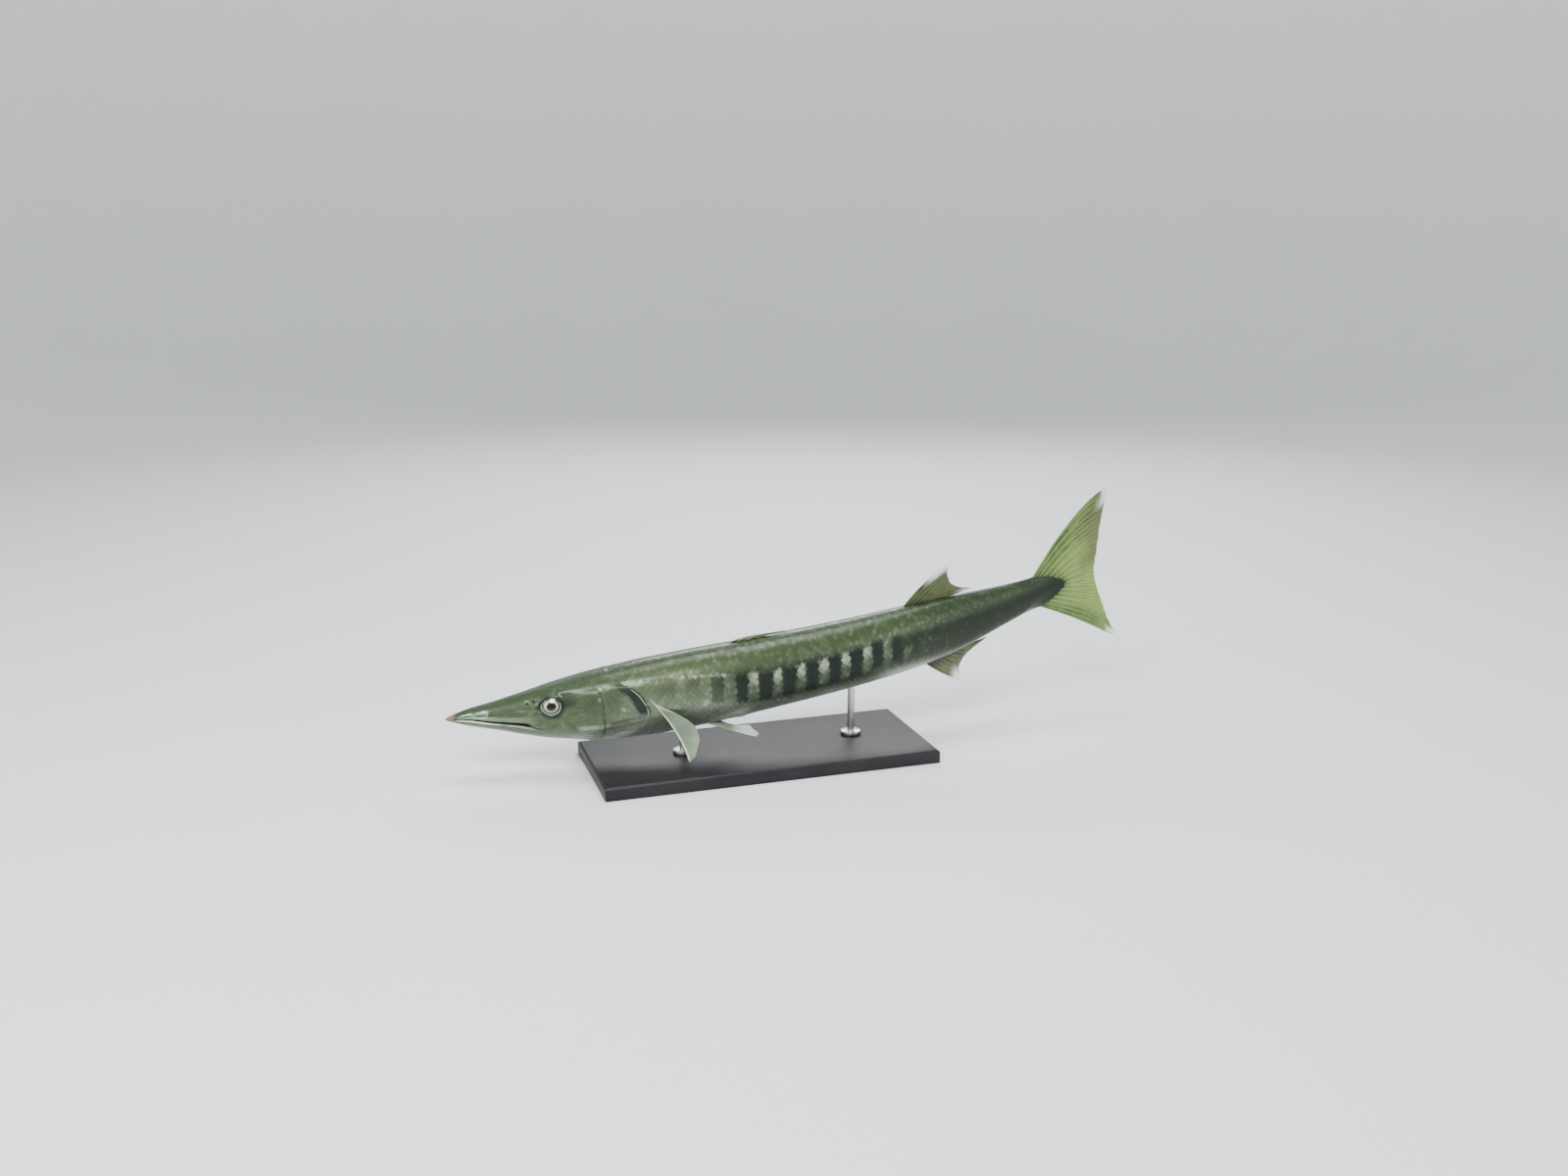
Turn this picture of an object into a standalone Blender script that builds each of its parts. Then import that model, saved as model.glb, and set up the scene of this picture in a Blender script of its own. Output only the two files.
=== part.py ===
# Great barracuda as a still, life-size display model: it swims in a gentle bend over a two-rod stand.
# Lengths are metres. A station is a share of the standard length, 0 at the tip of the lower jaw
# and 1 at the root of the tail fin. Heights are measured from the fish's axis, which starts there.

import math

import bmesh
import bpy
from mathutils import Matrix, Vector
from mathutils.bvhtree import BVHTree

# Driving dimensions
standard_length = 0.900
gap = 0.0003  # kept between neighbours that touch
rows = 20  # rows of faces from the back to the belly on each side
head_crowding = 0.08  # rows drawn together beside the mouth
body_crowding = 0.04

eye_station = 0.153
eye_height = 0.0081
eye_radius = 0.0170
eye_half_depth = 0.0090
eye_sunk = 0.0055  # how far the eyeball's centre lies under the skin
eye_forward = 0.16  # lean of the eye's axis towards the snout
eye_upward = 0.24
nostrils = ((0.118, 0.0134), (0.128, 0.0153))  # station, and height over the axis
nostril_size = (0.0026, 0.0016, 0.0018)

mouth_end = 0.142
lower_jaw_end = 0.172
upper_jaw_start = 0.009

gill_centre = 0.262
flap_height = 0.0022  # gill cover's free edge over the shoulder
cheek_height = 0.0014  # ridge of the preopercle over the gill cover behind it
torso_cuts = (0.47, 0.66, 0.84)

ray_breadth = 0.20  # half a ray's width as a share of the space between rays
membrane_share = 0.45  # membrane's thickness as a share of the ray's

base_size = (0.460, 0.190, 0.018)
base_edge = 0.004
base_station = 0.46
rod_radius = 0.005
foot_radius = 0.014
foot_height = 0.005
rod_stations = (0.345, 0.615)
clearance = 0.012  # lowest fin over the base


def profile(*points):
    """A smooth curve through (place, value) pairs that never overshoots and stays flat past its ends."""
    places, values = zip(*points)
    steps = [(values[i + 1] - values[i]) / (places[i + 1] - places[i]) for i in range(len(places) - 1)]
    slopes = [steps[0]]
    for before, after in zip(steps, steps[1:]):
        slopes.append(2 * before * after / (before + after) if before * after > 0 else 0.0)
    slopes.append(steps[-1])

    def at(place):
        if place <= places[0]:
            return values[0]
        if place >= places[-1]:
            return values[-1]
        i = max(k for k in range(len(places) - 1) if places[k] <= place)
        width = places[i + 1] - places[i]
        t = (place - places[i]) / width
        ends = values[i] * (1 + 2 * t) * (1 - t) ** 2 + values[i + 1] * t * t * (3 - 2 * t)
        return ends + width * t * (1 - t) * (slopes[i] * (1 - t) - slopes[i + 1] * t)

    return at


def ramp(value, start, end):
    """Rises smoothly from 0 at start to 1 at end."""
    t = min(max((value - start) / (end - start), 0.0), 1.0)
    return t * t * (3 - 2 * t)


def bell(value, centre, spread):
    return math.exp(-(((value - centre) / spread) ** 2))


# The pose, in degrees: how far the axis turns away to the fish's right, and how far it rises tailwards
sweep = profile((0.22, -9.5), (0.40, -2.5), (0.55, 3.5), (0.75, 7.5), (0.92, 9.0), (1.0, 6.0), (1.2, 4.0))
rise = profile((0.28, 5.1), (0.55, 6.6), (0.75, 8.3), (0.92, 10.7))

# The flesh: height of the back over the axis, depth of the belly under it, and half the width
back = profile(
    (0.0, 0.0022), (0.03, 0.0098), (0.07, 0.0158), (0.11, 0.0226), (0.15, 0.0298), (0.20, 0.0375),
    (0.25, 0.0434), (0.30, 0.0477), (0.40, 0.0508), (0.50, 0.0502), (0.60, 0.0482), (0.70, 0.0459),
    (0.78, 0.0425), (0.84, 0.0378), (0.90, 0.0322), (0.95, 0.0292), (1.02, 0.0300),
)
belly = profile(
    (0.0, 0.0018), (0.03, 0.0122), (0.07, 0.0221), (0.11, 0.0333), (0.15, 0.0430), (0.20, 0.0518),
    (0.25, 0.0558), (0.30, 0.0568), (0.40, 0.0530), (0.50, 0.0494), (0.60, 0.0482), (0.70, 0.0466),
    (0.78, 0.0415), (0.84, 0.0330), (0.90, 0.0238), (0.95, 0.0186), (1.02, 0.0190),
)
half_width = profile(
    (0.0, 0.0035), (0.03, 0.0108), (0.07, 0.0172), (0.11, 0.0232), (0.15, 0.0298), (0.20, 0.0368),
    (0.25, 0.0415), (0.30, 0.0430), (0.40, 0.0430), (0.50, 0.0418), (0.60, 0.0390), (0.70, 0.0335),
    (0.78, 0.0272), (0.84, 0.0218), (0.90, 0.0165), (0.95, 0.0125), (1.02, 0.0070),
)
# Height of the widest line: the mouth runs along it, and it comes back to the axis behind the cheek
widest = profile(
    (0.0, 0.0005), (0.034, -0.0015), (0.063, -0.0068), (0.10, -0.0130), (0.14, -0.0195), (0.17, -0.0185),
    (0.22, -0.0120), (0.30, -0.0050), (0.40, -0.0020), (0.80, -0.0010), (0.95, 0.0050), (1.02, 0.0055),
)
# 2 is an ellipse and more is squarer
top_square = profile((0.0, 2.0), (0.08, 2.4), (0.15, 3.0), (0.22, 2.6), (0.32, 2.2), (1.0, 2.0))
low_square = profile((0.0, 2.0), (0.10, 2.1), (0.20, 1.8), (0.30, 1.9), (0.42, 2.1), (1.0, 2.0))

# Rear edge of the gill cover by angle round the section, from the nape (0) to the throat (180)
gill_edge = profile(
    (0, 0.234), (18, 0.2365), (38, 0.2460), (58, 0.2630), (78, 0.2800), (98, 0.2880), (118, 0.2810), (140, 0.2560),
    (160, 0.2200), (180, 0.1960),
)
# Where the flesh of the tail ends under the fin rays, by the same angle
stem_end = profile((0, 0.950), (30, 0.966), (60, 0.995), (90, 1.012), (120, 0.997), (150, 0.970), (180, 0.956))
stem_half_end = 0.0019


def walk_axis():
    """Frames along the axis: point, tailward, to the fish's left, and up."""
    step = 0.0025
    here = Vector((0, 0, 0))
    frames = []
    for k in range(500):
        turned, raised = math.radians(sweep(k * step)), math.radians(rise(k * step))
        tailward = Vector((math.cos(raised) * math.cos(turned), math.cos(raised) * math.sin(turned), math.sin(raised)))
        left = tailward.cross(Vector((0, 0, 1))).normalized()
        frames.append((here.copy(), tailward, left, left.cross(tailward)))
        here += tailward * step * standard_length
    return frames, step


axis_frames, axis_step = walk_axis()


def frame_at(station):
    k = min(max(int(station / axis_step), 0), len(axis_frames) - 2)
    share = min(max(station / axis_step - k, 0.0), 1.0)
    here, after = axis_frames[k], axis_frames[k + 1]
    point, tailward, left, up = (a.lerp(b, share) for a, b in zip(here, after))
    if station < 0:
        point = point + tailward * station * standard_length
    return point, tailward, left, up


def place(station, leftward, height):
    """A point beside the axis, in metres to the fish's left and up."""
    point, _, left, up = frame_at(station)
    return point + left * leftward + up * height


def ridge_station(degrees):
    return 0.208 + 0.016 * math.sin(math.radians(degrees))


def gill_cover_relief(station, degrees):
    """The cheek swells to the ridge of the preopercle, and the gill cover behind it to its free edge."""
    edge = gill_edge(degrees)
    window = ramp(degrees, 46, 60) * (1 - ramp(degrees, 150, 168))
    flap = flap_height * ramp(station, edge - 0.030, edge - 0.003)
    ridge = ridge_station(degrees)
    cheek = cheek_height * ramp(station, ridge - 0.040, ridge - 0.002) * (1 - ramp(station, ridge, ridge + 0.008))
    return window * (flap + cheek)


def mouth_relief(station, degrees):
    """Lips swell along the mouth and part in a groove, and the maxilla stands over its hind end."""
    along = ramp(station, 0.003, 0.014) * (1 - ramp(station, mouth_end - 0.004, mouth_end + 0.004))
    lips = 0.0008 * bell(degrees, 90, 10)
    groove = 0.0017 * bell(degrees, 90, 3)
    plate = ramp(station, 0.085, 0.110) * (1 - ramp(station, mouth_end, mouth_end + 0.008))
    maxilla = 0.0009 * plate * ramp(degrees, 62, 72) * (1 - ramp(degrees, 86, 90))
    return along * (lips - groove) + maxilla


def relief(station, degrees):
    return mouth_relief(station, degrees) + gill_cover_relief(station, degrees)


def section(station, turn):
    """Leftward and upward reach of the flesh at an angle from the back (0) to the belly (pi)."""
    level = widest(station)
    upper = turn <= math.pi / 2
    power = 2 / (top_square(station) if upper else low_square(station))
    reach = back(station) - level if upper else belly(station) + level
    across = half_width(station) * max(math.sin(turn), 0.0) ** power
    up = reach * abs(math.cos(turn)) ** power
    return across, level + (up if upper else -up), reach


def skin(station, turn, side, lift=0.0):
    """A point of the skin on the left (side 1) or right (side -1), lifted off it by lift."""
    across, height, reach = section(station, turn)
    out_across = math.sin(turn) / half_width(station)
    out_up = math.cos(turn) / reach
    size = math.hypot(out_across, out_up)
    across += lift * out_across / size
    height += lift * out_up / size
    return place(station, side * across, height)


def turn_at_height(station, height):
    return next(a / 500 * math.pi for a in range(500) if section(station, a / 500 * math.pi)[1] < height)


def row_turns(crowding):
    return [math.pi * (j / rows + crowding / 2 * math.sin(2 * math.pi * j / rows)) for j in range(rows + 1)]


def ring(point_of, crowding=body_crowding):
    """A closed loop: down the left side from back to belly, and up the right."""
    turns = row_turns(crowding)
    left = [point_of(turn, 1) for turn in turns]
    right = [point_of(turn, -1) for turn in turns[1:-1]]
    return left + right[::-1]


def plain_ring(station, crowding=body_crowding):
    return ring(lambda turn, side: skin(station, turn, side), crowding)


# Blender objects


def clear_scene():
    for obj in list(bpy.data.objects):
        bpy.data.objects.remove(obj, do_unlink=True)


def new_collection(name, parent):
    made = bpy.data.collections.new(name)
    parent.children.link(made)
    return made


clear_scene()
barracuda = new_collection("barracuda", bpy.context.scene.collection)
cutters = new_collection("cutters", bpy.context.scene.collection)
cutters.hide_render = True


def material(name, colour, roughness, metallic=0.0):
    made = bpy.data.materials.new(name)
    made.use_nodes = True
    shader = made.node_tree.nodes["Principled BSDF"]
    shader.inputs["Base Color"].default_value = (*colour, 1.0)
    shader.inputs["Roughness"].default_value = roughness
    shader.inputs["Metallic"].default_value = metallic
    return made


def solid(name, mesh_data, finish=None, cutter=False):
    """A new object from a bmesh: a part of the model, or a cutter that stays out of it."""
    bmesh.ops.recalc_face_normals(mesh_data, faces=mesh_data.faces)
    mesh = bpy.data.meshes.new(name)
    mesh_data.to_mesh(mesh)
    mesh_data.free()
    obj = bpy.data.objects.new(name, mesh)
    (cutters if cutter else barracuda).objects.link(obj)
    if cutter:
        obj.hide_render = True
        obj.display_type = "WIRE"
    else:
        mesh.materials.append(material(name, *finish))
    return obj


def loft(name, rings, start_tip, end_tip, finish):
    """Skin through the rings. A tip closes an end as a fan, and None closes it side to side."""
    bm = bmesh.new()
    loops = [[bm.verts.new(point) for point in points] for points in rings]
    count = len(loops[0])
    for before, after in zip(loops, loops[1:]):
        for i in range(count):
            j = (i + 1) % count
            bm.faces.new((before[i], before[j], after[j], after[i]))
    for loop, tip in ((loops[0], start_tip), (loops[-1], end_tip)):
        if tip is None:
            close_across(bm, loop)
            continue
        centre = bm.verts.new(tip)
        for i in range(count):
            bm.faces.new((loop[i], loop[(i + 1) % count], centre))
    return solid(name, bm, finish)


def close_across(bm, loop):
    count = len(loop)
    for i in range(count // 2):
        corners = [loop[i], loop[i + 1], loop[(count - i - 1) % count], loop[(count - i) % count]]
        bm.faces.new(list(dict.fromkeys(corners)))


def sheet(name, grid, finish=None, cutter=False):
    """A closed thin body from columns of point pairs, one for each face, split alike on both faces."""
    bm = bmesh.new()
    pairs = [[[bm.verts.new(point) for point in pair] for pair in column] for column in grid]
    last_column, last_row = len(pairs) - 1, len(pairs[0]) - 1

    def wall(first, second):
        bm.faces.new((first[0], first[1], second[1]))
        bm.faces.new((first[0], second[1], second[0]))

    for c in range(last_column):
        for r in range(last_row):
            for face in (0, 1):
                near, far = pairs[c][r][face], pairs[c + 1][r + 1][face]
                bm.faces.new((near, pairs[c + 1][r][face], far))
                bm.faces.new((near, far, pairs[c][r + 1][face]))
        wall(pairs[c][0], pairs[c + 1][0])
        wall(pairs[c][last_row], pairs[c + 1][last_row])
    for r in range(last_row):
        wall(pairs[0][r], pairs[0][r + 1])
        wall(pairs[last_column][r], pairs[last_column][r + 1])
    return solid(name, bm, finish, cutter)


def cut(obj, cutter):
    """Takes the cutter's shape out of the object for good, and removes the cutter."""
    modifier = obj.modifiers.new("cut", "BOOLEAN")
    modifier.operation = "DIFFERENCE"
    modifier.object = cutter
    bpy.context.view_layer.update()
    evaluated = obj.evaluated_get(bpy.context.evaluated_depsgraph_get())
    mesh = bpy.data.meshes.new_from_object(evaluated)
    obj.modifiers.clear()
    obj.data = mesh
    bpy.data.objects.remove(cutter, do_unlink=True)


def loose_shells(mesh):
    """The mesh's separate surfaces as lists of face indices, largest volume first."""
    bm = bmesh.new()
    bm.from_mesh(mesh)
    bm.faces.ensure_lookup_table()
    seen, shells = set(), []
    for first in bm.faces:
        if first.index in seen:
            continue
        seen.add(first.index)
        found, open_faces = [], [first]
        while open_faces:
            face = open_faces.pop()
            found.append(face.index)
            for edge in face.edges:
                for other in edge.link_faces:
                    if other.index not in seen:
                        seen.add(other.index)
                        open_faces.append(other)
        shells.append(found)
    volumes = []
    for shell in shells:
        total = 0.0
        for index in shell:
            corners = [vert.co for vert in bm.faces[index].verts]
            for a, b in zip(corners[1:], corners[2:]):
                total += corners[0].dot(a.cross(b)) / 6
        volumes.append(total)
    bm.free()
    return [shell for _, shell in sorted(zip(volumes, shells), key=lambda pair: -pair[0])]


def keep_faces(obj, kept):
    """Leaves only these faces of the object's mesh."""
    bm = bmesh.new()
    bm.from_mesh(obj.data)
    kept = set(kept)
    bmesh.ops.delete(bm, geom=[face for face in bm.faces if face.index not in kept], context="FACES")
    bm.to_mesh(obj.data)
    bm.free()


# Finishes: colour, roughness and metallic value
head_finish = ((0.30, 0.34, 0.27), 0.35, 0.25)
jaw_finish = ((0.52, 0.55, 0.50), 0.35, 0.25)
flank_finish = ((0.36, 0.39, 0.34), 0.32, 0.35)
tail_finish = ((0.20, 0.21, 0.15), 0.40, 0.20)
dark_fin_finish = ((0.22, 0.22, 0.10), 0.45, 0.0)
pale_fin_finish = ((0.55, 0.58, 0.45), 0.45, 0.0)
eye_finish = ((0.75, 0.70, 0.45), 0.10, 0.0)
steel_finish = ((0.55, 0.56, 0.58), 0.30, 1.0)
base_finish = ((0.045, 0.045, 0.05), 0.40, 0.0)


# Head, lower jaw and eyes


def eye_matrix(side, grow):
    """Places and stretches a unit ball as an eyeball that is larger by grow all round."""
    _, tailward, left, up = frame_at(eye_station)
    turn = turn_at_height(eye_station, eye_height)
    surface = place(eye_station, side * section(eye_station, turn)[0], eye_height)
    outward = (left * side - tailward * eye_forward + up * eye_upward).normalized()
    across = outward.cross(up).normalized()
    over = across.cross(outward)
    if side < 0:
        across = -across
    centre = surface - outward * eye_sunk
    wide, deep = eye_radius + grow, eye_half_depth + grow
    columns = Matrix((across * wide, over * wide, outward * deep)).transposed().to_4x4()
    return Matrix.Translation(centre) @ columns


def ball(name, matrix, around, over, finish=None, cutter=False):
    bm = bmesh.new()
    bmesh.ops.create_uvsphere(bm, u_segments=around, v_segments=over, radius=1.0, matrix=matrix)
    return solid(name, bm, finish, cutter)


def nostril_matrix(station, height, side):
    surface = skin(station, turn_at_height(station, height), side)
    return Matrix.Translation(surface) @ Matrix.Diagonal((*nostril_size, 1.0))


def mouth_slab():
    """A thin bent plate along the closed mouth, down round the end of the lower jaw and up before the snout."""
    thickness = 0.00018
    path = [(upper_jaw_start - 0.001, 0.030), (upper_jaw_start, widest(upper_jaw_start) + 0.0006)]
    path += [(station, widest(station)) for station in (0.014, 0.024, 0.034, 0.045, 0.056, 0.068, 0.080)]
    path += [(station, widest(station)) for station in (0.092, 0.104, 0.116, 0.128, mouth_end)]
    corner, throat = (mouth_end, widest(mouth_end)), (lower_jaw_end + 0.004, -0.075)
    path += [bend(corner, (lower_jaw_end, -0.024), throat, share) for share in (0.18, 0.34, 0.48, 0.62, 0.78, 1.0)]
    grid = []
    for i, (station, height) in enumerate(path):
        before, after = path[max(i - 1, 0)], path[min(i + 1, len(path) - 1)]
        along = Vector(((after[0] - before[0]) * standard_length, after[1] - before[1])).normalized()
        off_station, off_height = along.y * thickness / standard_length, -along.x * thickness
        grid.append([
            (
                place(station + off_station, leftward, height + off_height),
                place(station - off_station, leftward, height - off_height),
            )
            for leftward in (-0.07, 0.07)
        ])
    return sheet("mouth_slab", grid, cutter=True)


def build_head():
    plain = [0.0, 0.003, 0.008, 0.014, 0.022, 0.032, 0.043, 0.054, 0.065, 0.076, 0.087, 0.098, 0.108, 0.118]
    plain += [0.128, 0.136, 0.143]
    rings = []
    for station in plain:
        rings.append(ring(lambda turn, side: lifted(station, turn, side), head_crowding))
    shares = [0.09, 0.18, 0.27, 0.35, 0.42, 0.48, 0.53, 0.57, 0.605, 0.65, 0.71, 0.78, 0.85, 0.91, 0.96, 1.0]
    for share in shares:
        crowding = head_crowding + (body_crowding - head_crowding) * share

        def point(turn, side):
            edge = gill_edge(math.degrees(turn))
            return lifted(plain[-1] + (edge - plain[-1]) * share, turn, side)

        rings.append(ring(point, crowding))
    tip = place(-0.0025, 0, 0.0008)
    head = loft("head", rings, tip, place(gill_centre, 0, 0), head_finish)
    for side in (1, -1):
        cut(head, ball("socket", eye_matrix(side, gap), 24, 12, cutter=True))
        for station, height in nostrils:
            cut(head, ball("nostril", nostril_matrix(station, height, side), 8, 6, cutter=True))
    cut(head, mouth_slab())
    shells = loose_shells(head.data)
    jaw = head.copy()
    jaw.data = head.data.copy()
    jaw.name = "lower_jaw"
    jaw.data.name = "lower_jaw"
    barracuda.objects.link(jaw)
    jaw.data.materials.clear()
    jaw.data.materials.append(material("lower_jaw", *jaw_finish))
    keep_faces(head, shells[0])
    keep_faces(jaw, shells[1])
    for side, name in ((1, "eye_left"), (-1, "eye_right")):
        ball(name, eye_matrix(side, 0.0), 24, 12, eye_finish)


def lifted(station, turn, side):
    return skin(station, turn, side, relief(station, math.degrees(turn)))


# Torso and tail


def shoulder_point(turn, side):
    """The first ring of the torso: on the head's rear face, inside the gill cover's free edge."""
    degrees = math.degrees(turn)
    edge = gill_edge(degrees)
    raised = relief(edge, degrees)
    across, height, _ = section(edge, turn)
    inside = 1 - raised / (math.hypot(across, height) + raised)
    point, centre = lifted(edge, turn, side), place(gill_centre, 0, 0)
    return centre + (point - centre) * inside


def build_torso():
    after = gap / standard_length
    tailward = frame_at(gill_centre)[1]
    rings = [[point + tailward * gap for point in ring(shoulder_point)]]
    first_cut = torso_cuts[0] - after / 2
    count = 11
    for i in range(1, count + 1):
        share = i / count

        def point(turn, side):
            edge = gill_edge(math.degrees(turn))
            return skin(edge + (first_cut - edge) * share, turn, side)

        rings.append(ring(point))
    start, end = place(gill_centre, 0, 0) + tailward * gap, place(first_cut, 0, 0)
    loft("torso_front", rings, start, end, flank_finish)

    for name, begin, finish_at in (
        ("torso_middle", torso_cuts[0], torso_cuts[1]),
        ("torso_rear", torso_cuts[1], torso_cuts[2]),
    ):
        first, last, count = begin + after / 2, finish_at - after / 2, 9
        stations = [first + (last - first) * i / count for i in range(count + 1)]
        rings = [plain_ring(station) for station in stations]
        loft(name, rings, place(first, 0, 0), place(last, 0, 0), flank_finish)


def stem_point(share, turn, side):
    """The tail stem flattens to a thin, rounded edge that the fin rays sit on."""
    first = torso_cuts[2] + gap / standard_length / 2
    station = first + (stem_end(math.degrees(turn)) - first) * share
    across, height, _ = section(station, turn)
    thin = ramp(share, 0.55, 1.0)
    across += (min(stem_half_end, across) - across) * thin
    return place(station, side * across, height)


def build_tail_stem():
    count = 11
    rings = []
    for i in range(count + 1):
        share = i / count
        rings.append(ring(lambda turn, side: stem_point(share, turn, side)))
    loft("tail_stem", rings, place(torso_cuts[2] + gap / standard_length / 2, 0, 0), None, tail_finish)


# Fins


def bend(root, middle, tip, share):
    """A point on the arc from root to tip that middle pulls to its side."""
    a, b, c = (1 - share) ** 2, 2 * share * (1 - share), share * share
    return tuple(a * r + b * m + c * t for r, m, t in zip(root, middle, tip))


def ray_columns(ray_count):
    """Shares across a fin, each on a ray or on the membrane just beside one."""
    step = 1 / (ray_count - 1)
    columns = []
    for k in range(ray_count):
        beside = ((k - ray_breadth) * step, False), (k * step, True), ((k + ray_breadth) * step, False)
        columns += [column for column in beside if 0 <= column[0] <= 1]
    return columns


def half_thickness(share, on_ray, root, tip):
    """A ray stands over the membrane beside it and thins to its tip."""
    ray = root + (tip - root) * share
    return ray if on_ray else ray * membrane_share


def middle_fin(name, ray_count, curve_of, root, tip, finish, steps=8):
    """A fin on the middle plane. curve_of(q) gives the root, middle and tip of the ray at share q."""
    grid = []
    for q, on_ray in ray_columns(ray_count):
        points = curve_of(q)
        column = []
        for r in range(steps + 1):
            station, height = bend(*points, r / steps)
            half = half_thickness(r / steps, on_ray, root, tip)
            column.append((place(station, half, height), place(station, -half, height)))
        grid.append(column)
    return sheet(name, grid, finish)


def mix(a, b, share):
    return tuple(x + (y - x) * share for x, y in zip(a, b))


def build_back_fins():
    """The first dorsal fin lies folded on the back, and the second stands over the anal fin."""
    front_tips = profile((0.0, 0.474), (0.5, 0.501), (1.0, 0.521))

    def folded(q):
        root_station = 0.424 + 0.056 * q
        over = 0.0050 - 0.0030 * q
        root = (root_station, back(root_station) + gap)
        middle = (root_station + 0.016, back(root_station + 0.016) + over * 1.3)
        tip = (front_tips(q), back(front_tips(q)) + over * 0.7)
        return root, middle, tip

    middle_fin("dorsal_fin_front", 5, folded, 0.0013, 0.0007, dark_fin_finish, steps=7)

    tip_stations = profile((0.0, 0.802), (0.25, 0.797), (0.5, 0.801), (0.75, 0.815), (1.0, 0.842))
    tip_heights = profile((0.0, 0.0905), (0.25, 0.0740), (0.5, 0.0605), (0.75, 0.0510), (1.0, 0.0432))

    def standing(q):
        root_station = 0.712 + 0.083 * q
        root = (root_station, back(root_station) + gap)
        tip = (tip_stations(q), tip_heights(q))
        halfway = mix(root, tip, 0.5)
        return root, (halfway[0], halfway[1] + 0.010 * (1 - q) ** 2), tip

    middle_fin("dorsal_fin_rear", 10, standing, 0.0016, 0.0005, dark_fin_finish)


def build_anal_fin():
    tip_stations = profile((0.0, 0.802), (0.3, 0.799), (0.6, 0.813), (1.0, 0.856))
    tip_heights = profile((0.0, -0.0895), (0.3, -0.0700), (0.6, -0.0520), (1.0, -0.0348))

    def hanging(q):
        root_station = 0.738 + 0.077 * q
        root = (root_station, -belly(root_station) - gap)
        tip = (tip_stations(q), tip_heights(q))
        halfway = mix(root, tip, 0.5)
        return root, (halfway[0], halfway[1] - 0.006 * (1 - q) ** 2), tip

    middle_fin("anal_fin", 9, hanging, 0.0015, 0.0005, dark_fin_finish)


def build_tail_fin():
    """Two lobes part at the fork. Their rays fan out from the thin end of the tail stem."""
    trailing = profile(
        (-0.1125, 1.108), (-0.0830, 1.091), (-0.0490, 1.080), (0.001, 1.072), (0.0428, 1.083),
        (0.0711, 1.091), (0.0963, 1.101), (0.1295, 1.114),
    )
    parted = 0.0006  # height left between the lobes

    def root_at(degrees):
        station = stem_end(degrees)
        height = section(station, math.radians(degrees))[1]
        return station + gap * 1.4 / standard_length, height

    def lobe(name, leading_degrees, tip_height, bulge, sign):
        middle_height = widest(1.012) + sign * parted / 2
        fork_height = 0.001 + sign * parted / 2

        def ray(q):
            degrees = leading_degrees + (90 - leading_degrees) * q
            root = root_at(degrees)
            if q == 1.0:
                root = (root[0], middle_height)
            height = tip_height + (fork_height - tip_height) * q ** 0.85
            tip = (trailing(height), height)
            halfway = mix(root, tip, 0.5)
            pull = (1 - q) ** 1.6
            return root, (halfway[0] + bulge[0] * pull, halfway[1] + bulge[1] * pull), tip

        middle_fin(name, 9, ray, 0.0018, 0.0006, dark_fin_finish, steps=9)

    lobe("tail_fin_upper", 10, 0.1295, (0.014, 0.036), 1)
    lobe("tail_fin_lower", 170, -0.1125, (0.007, 0.004), -1)


def paired_fin(name, side, ray_count, root_line, middles, tips, root, tip, finish, steps=8):
    """A fin on the flank or belly. Root, middle and tip lines run from its leading to its last ray."""
    columns = ray_columns(ray_count)
    middle_lines = [profile(*((q, value[i]) for q, value in middles)) for i in range(3)]
    tip_lines = [profile(*((q, value[i]) for q, value in tips)) for i in range(3)]
    points = []
    for q, _ in columns:
        station, degrees = mix(root_line[0], root_line[1], q)
        start = skin(station, math.radians(degrees), side, gap * 1.3)
        ends = []
        for lines in (middle_lines, tip_lines):
            station, leftward, height = (line(q) for line in lines)
            ends.append(place(station, side * leftward, height))
        points.append([Vector(bend(start, *ends, r / steps)) for r in range(steps + 1)])
    grid = []
    for c, (q, on_ray) in enumerate(columns):
        column = []
        for r in range(steps + 1):
            here = points[c][r]
            across = points[min(c + 1, len(columns) - 1)][r] - points[max(c - 1, 0)][r]
            along = points[c][min(r + 1, steps)] - points[c][max(r - 1, 0)]
            thin = across.cross(along).normalized() * side
            if r == 0:
                station, degrees = mix(root_line[0], root_line[1], q)
                outward = skin(station, math.radians(degrees), side, 0.01) - here
                thin = across.cross(outward).normalized() * side
            half = half_thickness(r / steps, on_ray, root, tip)
            column.append((here + thin * half, here - thin * half))
        grid.append(column)
    return sheet(name, grid, finish)


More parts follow.
